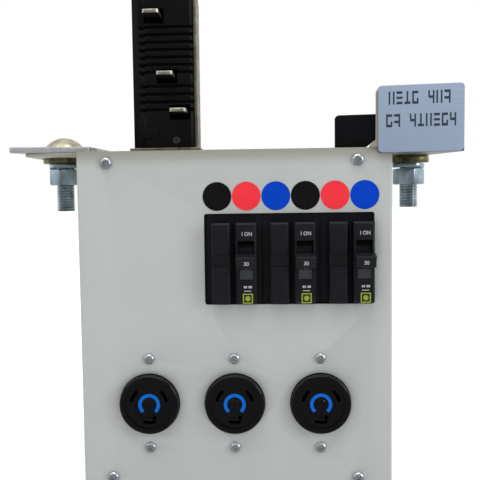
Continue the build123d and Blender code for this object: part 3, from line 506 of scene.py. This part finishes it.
class Workshop:
    """Turns meshes into finished pieces that ride on the CAD frame."""

    def __init__(self, frame: dict[str, Any]) -> None:
        """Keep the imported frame."""
        self.frame = frame
        self.nodes: dict[str, bpy.types.Object] = frame["nodes"]

    def copy_of(self, node: str, join_flats: bool = True) -> BMesh:
        """Return a copy of a CAD node's mesh with its seams merged.

        Args:
            node: the CAD node's name.
            join_flats: make one face of each flat region.
        """
        bm = bmesh.new()
        bm.from_mesh(self.nodes[node].data)
        bmesh.ops.remove_doubles(bm, verts=bm.verts, dist=2e-6)
        if join_flats:
            bmesh.ops.dissolve_limit(bm, angle_limit=math.radians(0.6), use_dissolve_boundaries=False,
                                     verts=bm.verts,
                                     edges=bm.edges, delimit=set())
        return bm

    def piece(self, name: str, bm: BMesh, finish: Finish, body: Body = Body.ENCLOSURE,
              replaces: Iterable[str] = (), angle: float = FLAT_ANGLE) -> bpy.types.Object:
        """Finish a mesh as a piece of the object.

        Args:
            name: the piece's name.
            bm: its mesh in the row frame, in metres; it is freed.
            finish: what it is made of.
            body: the CAD body it rides on.
            replaces: CAD nodes it stands for.
            angle: edges sharper than this stay hard.

        Returns:
            The new object.
        """
        mesh = bpy.data.meshes.new(name)
        bm.to_mesh(mesh)
        bm.free()
        mesh.shade_smooth()
        mesh.set_sharp_from_angle(angle=angle)
        made = bpy.data.objects.new(name, mesh)
        bpy.context.scene.collection.objects.link(made)
        mesh.materials.append(finish.material())
        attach(made, body.value)
        for node in replaces:
            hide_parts(node)
        LOG.info("%s: %d faces, %s", name, len(mesh.polygons), finish.name)
        return made

    def softened(self, node: str, width_mm: float, finish: Finish, body: Body = Body.ENCLOSURE,
                 join_flats: bool = True, straight_only: bool = False) -> bpy.types.Object:
        """Replace a CAD node by a copy of it with rounded edges.

        Args:
            node: the CAD node.
            width_mm: bevel width.
            finish: its finish.
            body: the CAD body it rides on.
            join_flats: make one face of each flat region first.
            straight_only: leave every edge that borders a curved face as it is.

        Returns:
            The new piece.
        """
        bm = self.copy_of(node, join_flats)
        soften(bm, width_mm, 2, straight_only)
        return self.piece(node + "_shown", bm, finish, body, (node,))

    def dress_cad_nodes(self) -> None:
        """Give each CAD node that stays its finish."""
        for node, finish in CAD_FINISHES.items():
            shown = self.nodes[node]
            if shown.hide_render:
                continue
            shown.data.materials.clear()
            shown.data.materials.append(finish.material())
            LOG.info("%s: CAD node in %s", node, finish.name)

    def lettering(self, text: str, height_mm: float, stretch: float = 1.0,
                  bold: float = 0.0) -> bpy.types.Mesh:
        """Make a short generic marking as a thin mesh lying in the XY plane about the origin.

        Args:
            text: the marking.
            height_mm: height of its capitals.
            stretch: width factor.
            bold: extra stroke width in font units.

        Returns:
            A mesh centred on the origin, facing +Z.
        """
        curve = bpy.data.curves.new("marking", "FONT")
        curve.body = text
        curve.offset = bold
        curve.resolution_u = 3
        holder = bpy.data.objects.new("marking", curve)
        bpy.context.scene.collection.objects.link(holder)
        bpy.context.view_layer.update()
        mesh = bpy.data.meshes.new_from_object(holder.evaluated_get(bpy.context.evaluated_depsgraph_get()))
        bpy.data.objects.remove(holder)
        xs = [v.co.x for v in mesh.vertices]
        ys = [v.co.y for v in mesh.vertices]
        scale = height_mm * MM / (max(ys) - min(ys))
        centre = Vector(((min(xs) + max(xs)) / 2, (min(ys) + max(ys)) / 2, 0.0))
        mesh.transform(Matrix.Diagonal((scale * stretch, scale, 1.0, 1.0)) @ Matrix.Translation(-centre))
        return mesh

    def print_on(self, name: str, marks: list[tuple[bpy.types.Mesh, Matrix]], finish: Finish,
                 body: Body) -> bpy.types.Object:
        """Lay several markings on a surface as one piece with a hair's thickness.

        Args:
            name: the piece's name.
            marks: meshes facing +Z with the place of each.
            finish: the ink.
            body: the CAD body they ride on.

        Returns:
            The new piece.
        """
        bm = bmesh.new()
        for mesh, place in marks:
            mesh.transform(place)
            bm.from_mesh(mesh)
            bpy.data.meshes.remove(mesh)
        bmesh.ops.remove_doubles(bm, verts=bm.verts, dist=1e-7)
        return self.piece(name, bm, finish, body)


def facing(point: Sequence[float], turn: float = 0.0, tilt: float = 0.0) -> Matrix:
    """Place that lays a drawing from the XY plane onto a surface that looks along -Y.

    Args:
        point: where its middle goes, in metres.
        turn: turn about Z in degrees.
        tilt: turn about X in degrees, towards the sky when negative.

    Returns:
        The matrix.
    """
    return (Matrix.Translation(Vector(point)) @ Matrix.Rotation(math.radians(turn), 4, "Z")
            @ Matrix.Rotation(math.radians(90 + tilt), 4, "X"))


# Plain signs for lines that carry no words: bars as (x, y, width, height) in a unit square.
SIGNS: tuple[tuple[tuple[float, float, float, float], ...], ...] = (
    ((-0.36, 0.0, 0.28, 1.0), (0.36, 0.0, 0.28, 1.0)),
    ((0.0, 0.40, 1.0, 0.20), (0.0, -0.40, 1.0, 0.20), (0.0, 0.0, 1.0, 0.18)),
    ((0.0, -0.40, 1.0, 0.20), (0.0, 0.1, 0.28, 0.8)),
    ((-0.38, 0.0, 0.28, 1.0), (0.12, 0.40, 0.76, 0.20), (0.12, -0.40, 0.76, 0.20), (0.38, -0.2, 0.28, 0.3)),
    ((0.38, 0.0, 0.28, 1.0), (-0.1, 0.0, 0.72, 0.20), (-0.38, 0.3, 0.28, 0.4)),
    ((0.38, 0.0, 0.28, 1.0), (-0.12, 0.40, 0.76, 0.20), (-0.12, -0.1, 0.76, 0.20)),
)


def sign_row(order: Sequence[int], width_mm: float, height_mm: float, pitch_mm: float) -> bpy.types.Mesh:
    """Row of plain unreadable signs that stands for a line of wording.

    Args:
        order: sign numbers; -1 is a space.
        width_mm: width of a sign.
        height_mm: height of a sign.
        pitch_mm: distance from one sign to the next.

    Returns:
        A flat mesh centred on the origin, facing +Z.
    """
    bm = bmesh.new()
    for k, sign in enumerate(order):
        if sign < 0:
            continue
        x = (k - (len(order) - 1) / 2) * pitch_mm
        for bx, by, w, h in SIGNS[sign]:
            place = Matrix.Translation(((x + bx * width_mm) * MM, by * height_mm * MM, 0)) @ Matrix.Diagonal(
                (w * width_mm * MM / 2, h * height_mm * MM / 2, 1, 1))
            bmesh.ops.create_grid(bm, x_segments=1, y_segments=1, size=1.0, matrix=place)
    mesh = bpy.data.meshes.new("signs")
    bm.to_mesh(mesh)
    bm.free()
    return mesh


def flat_blocks(widths_mm: Sequence[float], height_mm: float, gap_mm: float) -> bpy.types.Mesh:
    """Row of plain printed strokes that stands for a line of small print.

    Args:
        widths_mm: width of each stroke; a negative width is a space.
        height_mm: height of the row.
        gap_mm: gap between neighbours.

    Returns:
        A flat mesh centred on the origin, facing +Z.
    """
    total = sum(abs(w) for w in widths_mm) + gap_mm * (len(widths_mm) - 1)
    bm = bmesh.new()
    x = -total / 2
    for w in widths_mm:
        if w > 0:
            place = Matrix.Translation(((x + w / 2) * MM, 0, 0)) @ Matrix.Diagonal((w * MM / 2,
                                                                                    height_mm * MM / 2, 1, 1))
            bmesh.ops.create_grid(bm, x_segments=1, y_segments=1, size=1.0, matrix=place)
        x += abs(w) + gap_mm
    mesh = bpy.data.meshes.new("strokes")
    bm.to_mesh(mesh)
    bm.free()
    return mesh


# ------------------------------------------------------------------ sub-assemblies


@dataclass
class Enclosure:
    """Folded sheet-steel box: cover, tray and top plate with its ears."""

    shop: Workshop
    rivet_r_mm: float = 3.2
    rivet_h_mm: float = 1.1

    def build(self) -> None:
        """Make the sheet edges soft and add the rivet heads of the inner rails."""
        self.shop.softened("front_cover", 0.35, GREY_ENAMEL)
        self.shop.softened("back_tray", 0.3, GREY_ENAMEL)
        self.shop.softened("top_plate", 0.4, GREY_ENAMEL)
        self.rivets()

    def rivets(self) -> None:
        """Low rivet heads on the back wall, where the breaker rail, bus support and ground bar are held."""
        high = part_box("back_tray")[1]
        rail_low, rail_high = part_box("breaker_rail")
        bus_low, bus_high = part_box("bus_support")
        bar_low, bar_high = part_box("ground_bar")
        spots = [(rail_low.x + 12 * MM, rail_high.z - 7 * MM), (rail_high.x - 12 * MM, rail_high.z - 7 * MM)]
        spots += [(x, z) for x in (bus_low.x + 7 * MM, bus_high.x - 7 * MM) for z in (bus_low.z + 9 * MM,
                                                                                      bus_high.z - 9 * MM)]
        spots += [(x, (bar_low.z + bar_high.z) / 2) for x in (bar_low.x + 6 * MM, bar_high.x - 6 * MM)]
        bm = bmesh.new()
        r, h = self.rivet_r_mm * MM, self.rivet_h_mm * MM
        for x, z in spots:
            one = bmesh.new()
            spin_profile(one, [(0, h), (0.5 * r, 0.9 * h), (0.85 * r, 0.55 * h), (r, 0.1 * h),
                               (r, -0.2 * h), (0, -0.2 * h)], 28)
            place = Matrix.Translation((x, high.y, z)) @ Matrix.Rotation(math.radians(-90), 4, "X")
            bmesh.ops.transform(one, matrix=place, verts=one.verts)
            merge_into(bm, one)
        self.shop.piece("back_rivets", bm, CLEAR_ZINC)


def merge_into(target: BMesh, source: BMesh) -> None:
    """Append one bmesh to another and free it.

    Args:
        target: the mesh that grows.
        source: the mesh that is copied and freed.
    """
    holder = bpy.data.meshes.new("holder")
    source.to_mesh(holder)
    source.free()
    target.from_mesh(holder)
    bpy.data.meshes.remove(holder)


@dataclass
class PanScrews:
    """Pan head machine screws with a cross recess, driven through the cover."""

    shop: Workshop
    recess_mm: float = 0.85
    steps: int = 40

    def head(self, radius: float, height: float) -> BMesh:
        """Return one head about the origin, its seat in the XY plane and its top towards +Z.

        Args:
            radius: head radius in metres.
            height: head height in metres.
        """
        bm = bmesh.new()
        shape = [(0, 1), (0.35, 0.985), (0.62, 0.92), (0.82, 0.76), (0.94, 0.5), (1, 0.2), (1, -0.05),
                 (0, -0.05)]
        spin_profile(bm, [(radius * r, height * h) for r, h in shape], self.steps)
        holder = bpy.data.meshes.new("head")
        bm.to_mesh(holder)
        bm.free()
        head = bpy.data.objects.new("head", holder)
        cutter_bm = bmesh.new()
        long, wide = radius * 0.56, radius * 0.13
        for x, y in ((long, wide), (wide, long)):
            verts = add_block(cutter_bm, (-x, -y, height * 0.25), (x, y, height * 1.2))
            for v in verts:
                if v.co.z < height * 0.5:
                    v.co.x *= 0.45 if x > y else 1.0
                    v.co.y *= 0.45 if y > x else 1.0
        cutter_mesh = bpy.data.meshes.new("cutter")
        cutter_bm.to_mesh(cutter_mesh)
        cutter_bm.free()
        cutter = bpy.data.objects.new("cutter", cutter_mesh)
        scene = bpy.context.scene.collection.objects
        scene.link(head)
        scene.link(cutter)
        cut = head.modifiers.new("recess", "BOOLEAN")
        cut.object = cutter
        cut.operation = "DIFFERENCE"
        cut.solver = "EXACT"
        cut.use_self = True
        bpy.context.view_layer.update()
        made = bmesh.new()
        done = bpy.data.meshes.new_from_object(head.evaluated_get(bpy.context.evaluated_depsgraph_get()))
        made.from_mesh(done)
        bpy.data.objects.remove(head)
        bpy.data.objects.remove(cutter)
        bpy.data.meshes.remove(done)
        return made

    def place(self, name: str, node: str, spots: Iterable[tuple[float, float]], radius_mm: float,
              height_mm: float, face: float, turns: Sequence[float]) -> None:
        """Put screw heads on a plane that looks along -Y and hide the plain CAD ones.

        Args:
            name: the new piece's name.
            node: the CAD node it stands for.
            spots: x and z of each head, in metres.
            radius_mm: head radius.
            height_mm: head height.
            face: y of the seat plane.
            turns: recess angles in degrees, used in order.
        """
        bm = bmesh.new()
        for k, (x, z) in enumerate(spots):
            one = self.head(radius_mm * MM, height_mm * MM)
            matrix = Matrix.Translation((x, face, z)) @ Matrix.Rotation(math.radians(90), 4,
                                                                        "X") @ Matrix.Rotation(
                math.radians(turns[k % len(turns)]), 4, "Z")
            bmesh.ops.transform(one, matrix=matrix, verts=one.verts)
            merge_into(bm, one)
        self.shop.piece(name, bm, CLEAR_ZINC, replaces=(node,))

    def build(self) -> None:
        """Cover screws and receptacle screws."""
        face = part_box("front_cover")[0].y
        low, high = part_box("cover_screws")
        r = 4.0
        xs, zs = (low.x + r * MM, high.x - r * MM), (low.z + r * MM, high.z - r * MM)
        self.place("cover_screw_heads", "cover_screws", [(x, z) for x in xs for z in zs], r, 2.3, face,
                   (20, 65, 40, 5))
        low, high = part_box("receptacle_screws")
        r = 3.6
        faces = [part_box(f"receptacle_{n}_face") for n in (1, 2, 3)]
        middles = [(low.x + high.x) / 2 for low, high in faces]
        zs = (low.z + r * MM, high.z - r * MM)
        spots = [(x, z) for x in middles for z in zs]
        self.place("receptacle_screw_heads", "receptacle_screws", spots, r, 2.0, face, (30, 10, 75, 50, 15, 60))


@dataclass
class Breakers:
    """Three 2-pole breakers: cases, handles, windows, printed marks."""

    shop: Workshop
    handle_t_mm: float = 7.6
    paddle_out_mm: float = 22.6
    tilt: float = 15.0

    def build(self) -> None:
        """Build the three breakers from left to right."""
        joints = {j["name"]: j for j in self.shop.frame["joints"]}
        for n, body in ((1, Body.HANDLE_1), (2, Body.HANDLE_2), (3, Body.HANDLE_3)):
            pivot = Vector(joints[f"handle_{n}_throw"]["pos_m"])
            self.shop.softened(f"breaker_{n}_blank_pole", 0.35, PHENOLIC)
            self.shop.softened(f"breaker_{n}_switch_pole", 0.22, PHENOLIC, straight_only=True)
            self.shop.softened(f"breaker_{n}_handle", 0.5, HANDLE_PLASTIC, body, straight_only=True)
            self.case_marks(n, pivot)
            self.handle_marks(n, pivot, body)

    def case_marks(self, n: int, pivot: Vector) -> None:
        """Printed marks on the nose of the switch pole.

        Args:
            n: breaker number.
            pivot: handle pivot in metres.
        """
        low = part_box(f"breaker_{n}_switch_pole")[0]
        skin = low.y - 0.04 * MM
        tag_low, tag_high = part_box("rating_tags")
        window_low, window_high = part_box("trip_windows")
        x = pivot.x
        on = self.shop.lettering("I ON", 2.55, 0.92, 0.012)
        self.shop.print_on(f"breaker_{n}_on_mark",
                           [(on, facing((x + 0.6 * MM, skin, pivot.z + 12.6 * MM)))], WHITE_INK,
                           Body.ENCLOSURE)
        off = self.shop.lettering("OFF", 1.9, 0.9, 0.0)
        row_z = tag_high.z + 4.2 * MM
        row = flat_blocks((0.9, 0.8, -0.4, 0.9, 1.0), 1.5, 0.3)
        bar = flat_blocks((4.6,), 0.5, 0.0)
        self.shop.print_on(f"breaker_{n}_rating_marks", [
            (row, facing((x + 0.9 * MM, skin, row_z))),
            (bar, facing((x + 0.7 * MM, skin, row_z - 2.6 * MM)))], WHITE_INK, Body.ENCLOSURE)
        self.shop.print_on(f"breaker_{n}_off_mark",
                           [(off, facing((x + 0.9 * MM, skin, window_high.z + 1.4 * MM)))], DIM_INK,
                           Body.ENCLOSURE)
        self.tag(n, x + 0.8 * MM, (tag_low.z + tag_high.z) / 2, tag_low.y)
        self.window_frame(n, x, window_low, window_high, low.y)

    def tag(self, n: int, x: float, z: float, skin: float) -> None:
        """Lime frame and dot on the dark tag.

        Args:
            n: breaker number.
            x: middle of the tag.
            z: middle of the tag.
            skin: y of the tag's face.
        """
        half, line = 3.3 * MM, 0.75 * MM
        bm = bmesh.new()
        for dx, dz, w, h in ((0, half - line / 2, half, line / 2), (0, line / 2 - half, half, line / 2),
                             (half - line / 2, 0, line / 2, half - line),
                             (line / 2 - half, 0, line / 2, half - line)):
            add_block(bm, (x + dx - w, skin - 0.05 * MM, z + dz - h), (x + dx + w, skin, z + dz + h))
        one = bmesh.new()
        spin_profile(one, [(0, 0.05 * MM), (1.7 * MM, 0.05 * MM), (1.7 * MM, 0), (0, 0)], 24)
        bmesh.ops.transform(one, matrix=facing((x, skin, z)), verts=one.verts)
        merge_into(bm, one)
        self.shop.piece(f"breaker_{n}_tag_print", bm, LIME_INK)

    def window_frame(self, n: int, x: float, low: Vector, high: Vector, face: float) -> None:
        """Thin raised bezel on both sides of the trip window.

        Args:
            n: breaker number.
            x: middle of the window.
            low: lowest corner of all windows.
            high: highest corner of all windows.
            face: y of the nose's face.
        """
        bm = bmesh.new()
        half = 3.9 * MM
        for side in (-1, 1):
            edge = x + side * half
            add_block(bm, (edge - 0.35 * MM, face - 0.25 * MM, low.z),
                      (edge + 0.35 * MM, face + 0.3 * MM, high.z))
        soften(bm, 0.15, 2)
        self.shop.piece(f"breaker_{n}_window_bezel", bm, SMOKED)

    def handle_marks(self, n: int, pivot: Vector, body: Body) -> None:
        """Rating numerals on the handle's face.

        Args:
            n: breaker number.
            pivot: handle pivot in metres.
            body: the handle's body.
        """
        tilt = math.radians(self.tilt)
        out = (self.paddle_out_mm + 0.04) * MM
        front = pivot + Vector((0, -math.cos(tilt) * out, -math.sin(tilt) * out))
        numerals = self.shop.lettering("30", 2.6, 0.95, 0.012)
        self.shop.print_on(f"breaker_{n}_numerals",
                           [(numerals, facing(front + Vector((0.2 * MM, 0, -0.2 * MM)), tilt=self.tilt))],
                           WHITE_INK, body)


@dataclass
class Receptacles:
    """Three locking receptacles."""

    shop: Workshop

    def build(self) -> None:
        """Add the moulded boss in the middle of each blue ring."""
        for n in (1, 2, 3):
            low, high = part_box(f"receptacle_{n}_face")
            x, z = (low.x + high.x) / 2, (low.z + high.z) / 2
            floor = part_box("ring_marks")[1].y
            bm = bmesh.new()
            r = 3.0 * MM
            spin_profile(bm, [(0, 0.15 * MM), (0.3 * r, 0.15 * MM), (0.55 * r, 0.5 * MM),
                              (0.85 * r, 0.5 * MM), (r, 0.2 * MM), (r, -0.1 * MM), (0, -0.1 * MM)], 32)
            bmesh.ops.transform(bm, matrix=facing((x, floor, z + 0.8 * MM)), verts=bm.verts)
            self.shop.piece(f"receptacle_{n}_boss", bm, GLOSS_NYLON)


@dataclass
class StabContacts:
    """Contact housing on top of the box with its bracket."""

    shop: Workshop

    def build(self) -> None:
        """Soften the moulding and the bracket."""
        self.shop.softened("stab_housing", 0.3, POLYESTER, join_flats=False)
        self.shop.softened("stab_bracket", 0.4, BRACKET_ZINC)


@dataclass
class Hangers:
    """Both hangers: plates, carriage bolts, washers, nuts and the instruction plate."""

    shop: Workshop
    pitch_mm: float = 1.954
    crest_mm: float = 6.19
    root_mm: float = 5.75
    steps: int = 28
    right_turn: float = -8.5
    spring_inner_mm: float = 6.7
    spring_outer_mm: float = 11.0
    spring_thick_mm: float = 2.9
    spring_rise_mm: float = 1.2
    spring_sweep: float = 348.0

    def build(self) -> None:
        """Build every hanger piece."""
        self.shop.softened("left_hanger_plate", 0.5, HOT_DIP, Body.LEFT_HANGER)
        for node, width_mm, finish in (
            ("right_hanger_bracket", 0.5, BEIGE_ENAMEL), ("instruction_bracket", 0.3, MILL_STEEL),
            ("guide_plate", 0.5, BLACK_ENAMEL), ("instruction_plate", 0.12, NAMEPLATE),
            ("flat_washers", 0.35, OLIVE_ZINC), ("hex_nuts", 0.3, BLUE_ZINC),
        ):
            self.shop.softened(node, width_mm, finish)
        self.bolts()
        self.lock_washers()
        self.plate_print()

    def axes(self) -> list[tuple[float, float]]:
        """Return x and y of both bolt axes."""
        joint = [j for j in self.shop.frame["joints"] if j["name"] == "left_hanger_swivel"][0]
        x, y = joint["pos_m"][0], joint["pos_m"][1]
        return [(x, y), (-x, y)]

    def thread(self, crest: float, low: float, high: float) -> BMesh:
        """Return a helical thread about Z with flat ends.

        Args:
            crest: crest radius in metres.
            low: z of its lower end.
            high: z of its upper end.
        """
        bm = bmesh.new()
        root, pitch = self.root_mm * MM, self.pitch_mm * MM
        turns = math.ceil((high - low) / pitch) + 2
        start = low - 1.5 * pitch
        profile = [(root, 0.0), (root, 0.08), (crest, 0.30), (crest, 0.78), (root, 1.0)]
        verts = [bm.verts.new((r, 0.0, start + h * pitch)) for r, h in profile]
        edges = [bm.edges.new(pair) for pair in zip(verts, verts[1:])]
        bmesh.ops.spin(bm, geom=verts + edges, cent=(0, 0, 0), axis=(0, 0, 1),
                       dvec=(0, 0, pitch / self.steps),
                       angle=math.tau * turns, steps=self.steps * turns, use_merge=False, use_duplicate=False)
        bmesh.ops.remove_doubles(bm, verts=bm.verts, dist=5e-6)
        for z, normal in ((low, (0, 0, -1)), (high, (0, 0, 1))):
            bmesh.ops.bisect_plane(bm, geom=bm.verts[:] + bm.edges[:] + bm.faces[:], plane_co=(0, 0, z),
                                   plane_no=normal,
                                   clear_outer=True, clear_inner=False)
        rim = [e for e in bm.edges if e.is_boundary]
        bmesh.ops.holes_fill(bm, edges=rim, sides=0)
        bmesh.ops.recalc_face_normals(bm, faces=bm.faces)
        return bm

    def bolts(self) -> None:
        """Carriage bolts: domed heads and threaded studs."""
        low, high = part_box("carriage_bolts")
        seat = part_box("right_hanger_bracket")[0].z
        plate_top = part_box("left_hanger_plate")[1].z + 0.1 * MM
        heads, studs = bmesh.new(), bmesh.new()
        radius, height = high.x - self.axes()[1][0], high.z - plate_top
        ball = (radius ** 2 + height ** 2) / (2 * height)
        arc = [(ball * math.sin(a), plate_top + height - ball + ball * math.cos(a))
               for a in [k / 10 * math.asin(radius / ball) for k in range(11)]]
        for x, y in self.axes():
            one = bmesh.new()
            spin_profile(one, arc + [(radius * 0.985, plate_top), (0, plate_top)], 56)
            bmesh.ops.translate(one, vec=(x, y, 0), verts=one.verts)
            merge_into(heads, one)
            stud = self.thread(self.crest_mm * MM, low.z, seat)
            bmesh.ops.translate(stud, vec=(x, y, 0), verts=stud.verts)
            merge_into(studs, stud)
        self.shop.piece("bolt_heads", heads, YELLOW_ZINC, replaces=("carriage_bolts",))
        self.shop.piece("bolt_threads", studs, THREAD_ZINC)

    def lock_washers(self) -> None:
        """Split spring washers: a square section wound just short of one turn with a little rise."""
        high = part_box("lock_washers")[1]
        bm = bmesh.new()
        tops = [high.z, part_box("flat_washers")[0].z]
        for (x, y), top, opening in zip(self.axes(), tops, (200.0, 75.0)):
            one = bmesh.new()
            inner, outer = self.spring_inner_mm * MM, self.spring_outer_mm * MM
            thick, rise = self.spring_thick_mm * MM, self.spring_rise_mm * MM
            corners = [(inner, 0), (outer, 0), (outer, -thick), (inner, -thick)]
            verts = [one.verts.new((r, 0, h)) for r, h in corners]
            face = one.faces.new(verts)
            steps = 44
            bmesh.ops.rotate(one, cent=(0, 0, 0), matrix=Matrix.Rotation(math.radians(opening), 3, "Z"),
                             verts=one.verts)
            bmesh.ops.spin(one, geom=[face], cent=(0, 0, 0), axis=(0, 0, 1), dvec=(0, 0, -rise / steps),
                           angle=math.radians(self.spring_sweep), steps=steps, use_merge=False,
                           use_duplicate=False)
            bmesh.ops.remove_doubles(one, verts=one.verts, dist=1e-6)
            bmesh.ops.recalc_face_normals(one, faces=one.faces)
            soften(one, 0.3, 2)
            bmesh.ops.translate(one, vec=(x, y, top - 0.05 * MM), verts=one.verts)
            merge_into(bm, one)
        self.shop.piece("lock_washers_shown", bm, BLUE_ZINC, replaces=("lock_washers",))

    def plate_print(self) -> None:
        """Two rows of plain signs on the instruction plate in place of its wording."""
        low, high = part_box("instruction_plate")
        turn = math.radians(self.right_turn)
        centre = (low + high) / 2
        deep = (high.y - low.y) / 2 - (high.x - low.x) / 2 * math.tan(abs(turn))
        out = Vector((-math.sin(-turn), -math.cos(turn), 0)) * (deep * math.cos(turn) + 0.06 * MM)
        face = Vector((centre.x, centre.y, 0)) + out
        along = Vector((math.cos(turn), math.sin(turn), 0))
        marks = []
        for order, z, slide in (((0, 1, 2, 3, -1, 4, 0, 5), high.z - 8.0 * MM, -1.0),
                                ((3, 5, -1, 4, 2, 0, 1, 3, 4), high.z - 22.3 * MM, 0.0)):
            spot = face + along * slide * MM
            marks.append((sign_row(order, 3.7, 8.2, 4.9), facing((spot.x, spot.y, z), turn=self.right_turn)))
        self.shop.print_on("instruction_print", marks, SLATE_INK, Body.ENCLOSURE)


# ------------------------------------------------------------------ studio


@dataclass
class Studio:
    """Plain pale floor, soft lights and the camera."""

    focal_mm: float = 52.5
    place: tuple[float, float, float] = (0.01723, -0.51489, 0.19631)
    yaw: float = -0.03706
    pitch: float = -0.06779
    roll: float = -0.01345
    shift: tuple[float, float] = (0.01164, 0.01027)

    def build(self) -> None:
        """Make the camera, floor, lights and surroundings."""
        self.camera()
        self.floor()
        self.lights()
        self.surroundings()

    def camera(self) -> None:
        """Camera at eye level in front of the box, turned a little to the left and down."""
        data = bpy.data.cameras.new("camera")
        data.lens, data.sensor_width = self.focal_mm, 36.0
        data.shift_x, data.shift_y = self.shift
        data.clip_start, data.clip_end = 0.01, 50.0
        made = bpy.data.objects.new("camera", data)
        forward = Vector((math.sin(self.yaw) * math.cos(self.pitch),
                          math.cos(self.yaw) * math.cos(self.pitch), math.sin(self.pitch)))
        right = Vector((math.cos(self.yaw), -math.sin(self.yaw), 0))
        up = right.cross(forward)
        side = math.cos(self.roll) * right + math.sin(self.roll) * up
        top = math.cos(self.roll) * up - math.sin(self.roll) * right
        made.matrix_world = Matrix.Translation(Vector(self.place)) @ Matrix((side, top,
                                                                             -forward)).transposed().to_4x4()
        bpy.context.scene.collection.objects.link(made)
        bpy.context.scene.camera = made

    def floor(self) -> None:
        """Large pale floor just under the box."""
        bm = bmesh.new()
        bmesh.ops.create_grid(bm, x_segments=2, y_segments=2, size=12.0)
        mesh = bpy.data.meshes.new("floor")
        bm.to_mesh(mesh)
        bm.free()
        made = bpy.data.objects.new("floor", mesh)
        bpy.context.scene.collection.objects.link(made)
        pale = bpy.data.materials.new("pale_floor")
        pale.use_nodes = True
        shader = pale.node_tree.nodes["Principled BSDF"]
        shader.inputs["Base Color"].default_value = linear("F7F7F7")
        shader.inputs["Roughness"].default_value = 0.9
        shader.inputs["Specular IOR Level"].default_value = 0.1
        shader.inputs["Emission Color"].default_value = linear("FFFFFF")
        shader.inputs["Emission Strength"].default_value = 0.3
        mesh.materials.append(pale)
        made.location.z = -0.0005
        made.visible_glossy = False

    def lights(self) -> None:
        """Soft boxes: overhead, front left and front right."""
        for name, place, target, size, watts, colour in (
            ("overhead", (0.0, -0.5, 1.9), (0, 0, 0.1), (1.6, 1.0), 12.0, "FFFFFF"),
            ("front_left", (-1.7, -1.25, 1.2), (0, 0, 0.12), (0.8, 0.8), 2.2, "F8FAFF"),
            ("front_right", (2.0, -1.0, 0.8), (0, 0, 0.12), (0.6, 0.9), 14.5, "F3F8FF"),
        ):
            data = bpy.data.lights.new(name, "AREA")
            data.shape = "RECTANGLE"
            data.size, data.size_y = size
            data.energy = watts
            data.color = linear(colour)[:3]
            made = bpy.data.objects.new(name, data)
            made.location = place
            made.rotation_euler = (Vector(target) - Vector(place)).to_track_quat("-Z", "Y").to_euler()
            bpy.context.scene.collection.objects.link(made)

    def surroundings(self) -> None:
        """White room behind the box that darkens towards the viewer."""
        world = bpy.data.worlds.new("studio")
        bpy.context.scene.world = world
        world.use_nodes = True
        tree = world.node_tree
        tree.nodes.clear()
        place = add_node(tree, "ShaderNodeTexCoord").outputs["Generated"]
        way = add_node(tree, "ShaderNodeSeparateXYZ", {"Vector": place}).outputs
        lift = add_node(tree, "ShaderNodeMath", {0: way["Z"], 1: 0.8, 2: way["Y"]}, operation="MULTIPLY_ADD")
        rise = add_node(tree, "ShaderNodeMapRange", {
            "Value": lift.outputs["Value"], "From Min": -0.55, "From Max": 0.35, "To Min": 0.30,
            "To Max": 1.0}, interpolation_type="SMOOTHSTEP")
        glow = add_node(tree, "ShaderNodeBackground",
                        {"Color": linear("FFFFFF"), "Strength": rise.outputs["Result"]})
        add_node(tree, "ShaderNodeOutputWorld", {"Surface": glow.outputs["Background"]})
        bpy.context.scene.view_settings.view_transform = "Standard"
        bpy.context.scene.view_settings.look = "None"


def main() -> None:
    """Load the frame, build every sub-assembly and the studio."""
    logging.basicConfig(level=logging.INFO, format="%(name)s %(message)s")
    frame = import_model()
    shop = Workshop(frame)
    Studio().build()
    for part in (Enclosure(shop), PanScrews(shop), Breakers(shop), Receptacles(shop), StabContacts(shop),
                 Hangers(shop)):
        LOG.info("building %s", type(part).__name__)
        part.build()
    shop.dress_cad_nodes()


if __name__ == "__main__":
    main()
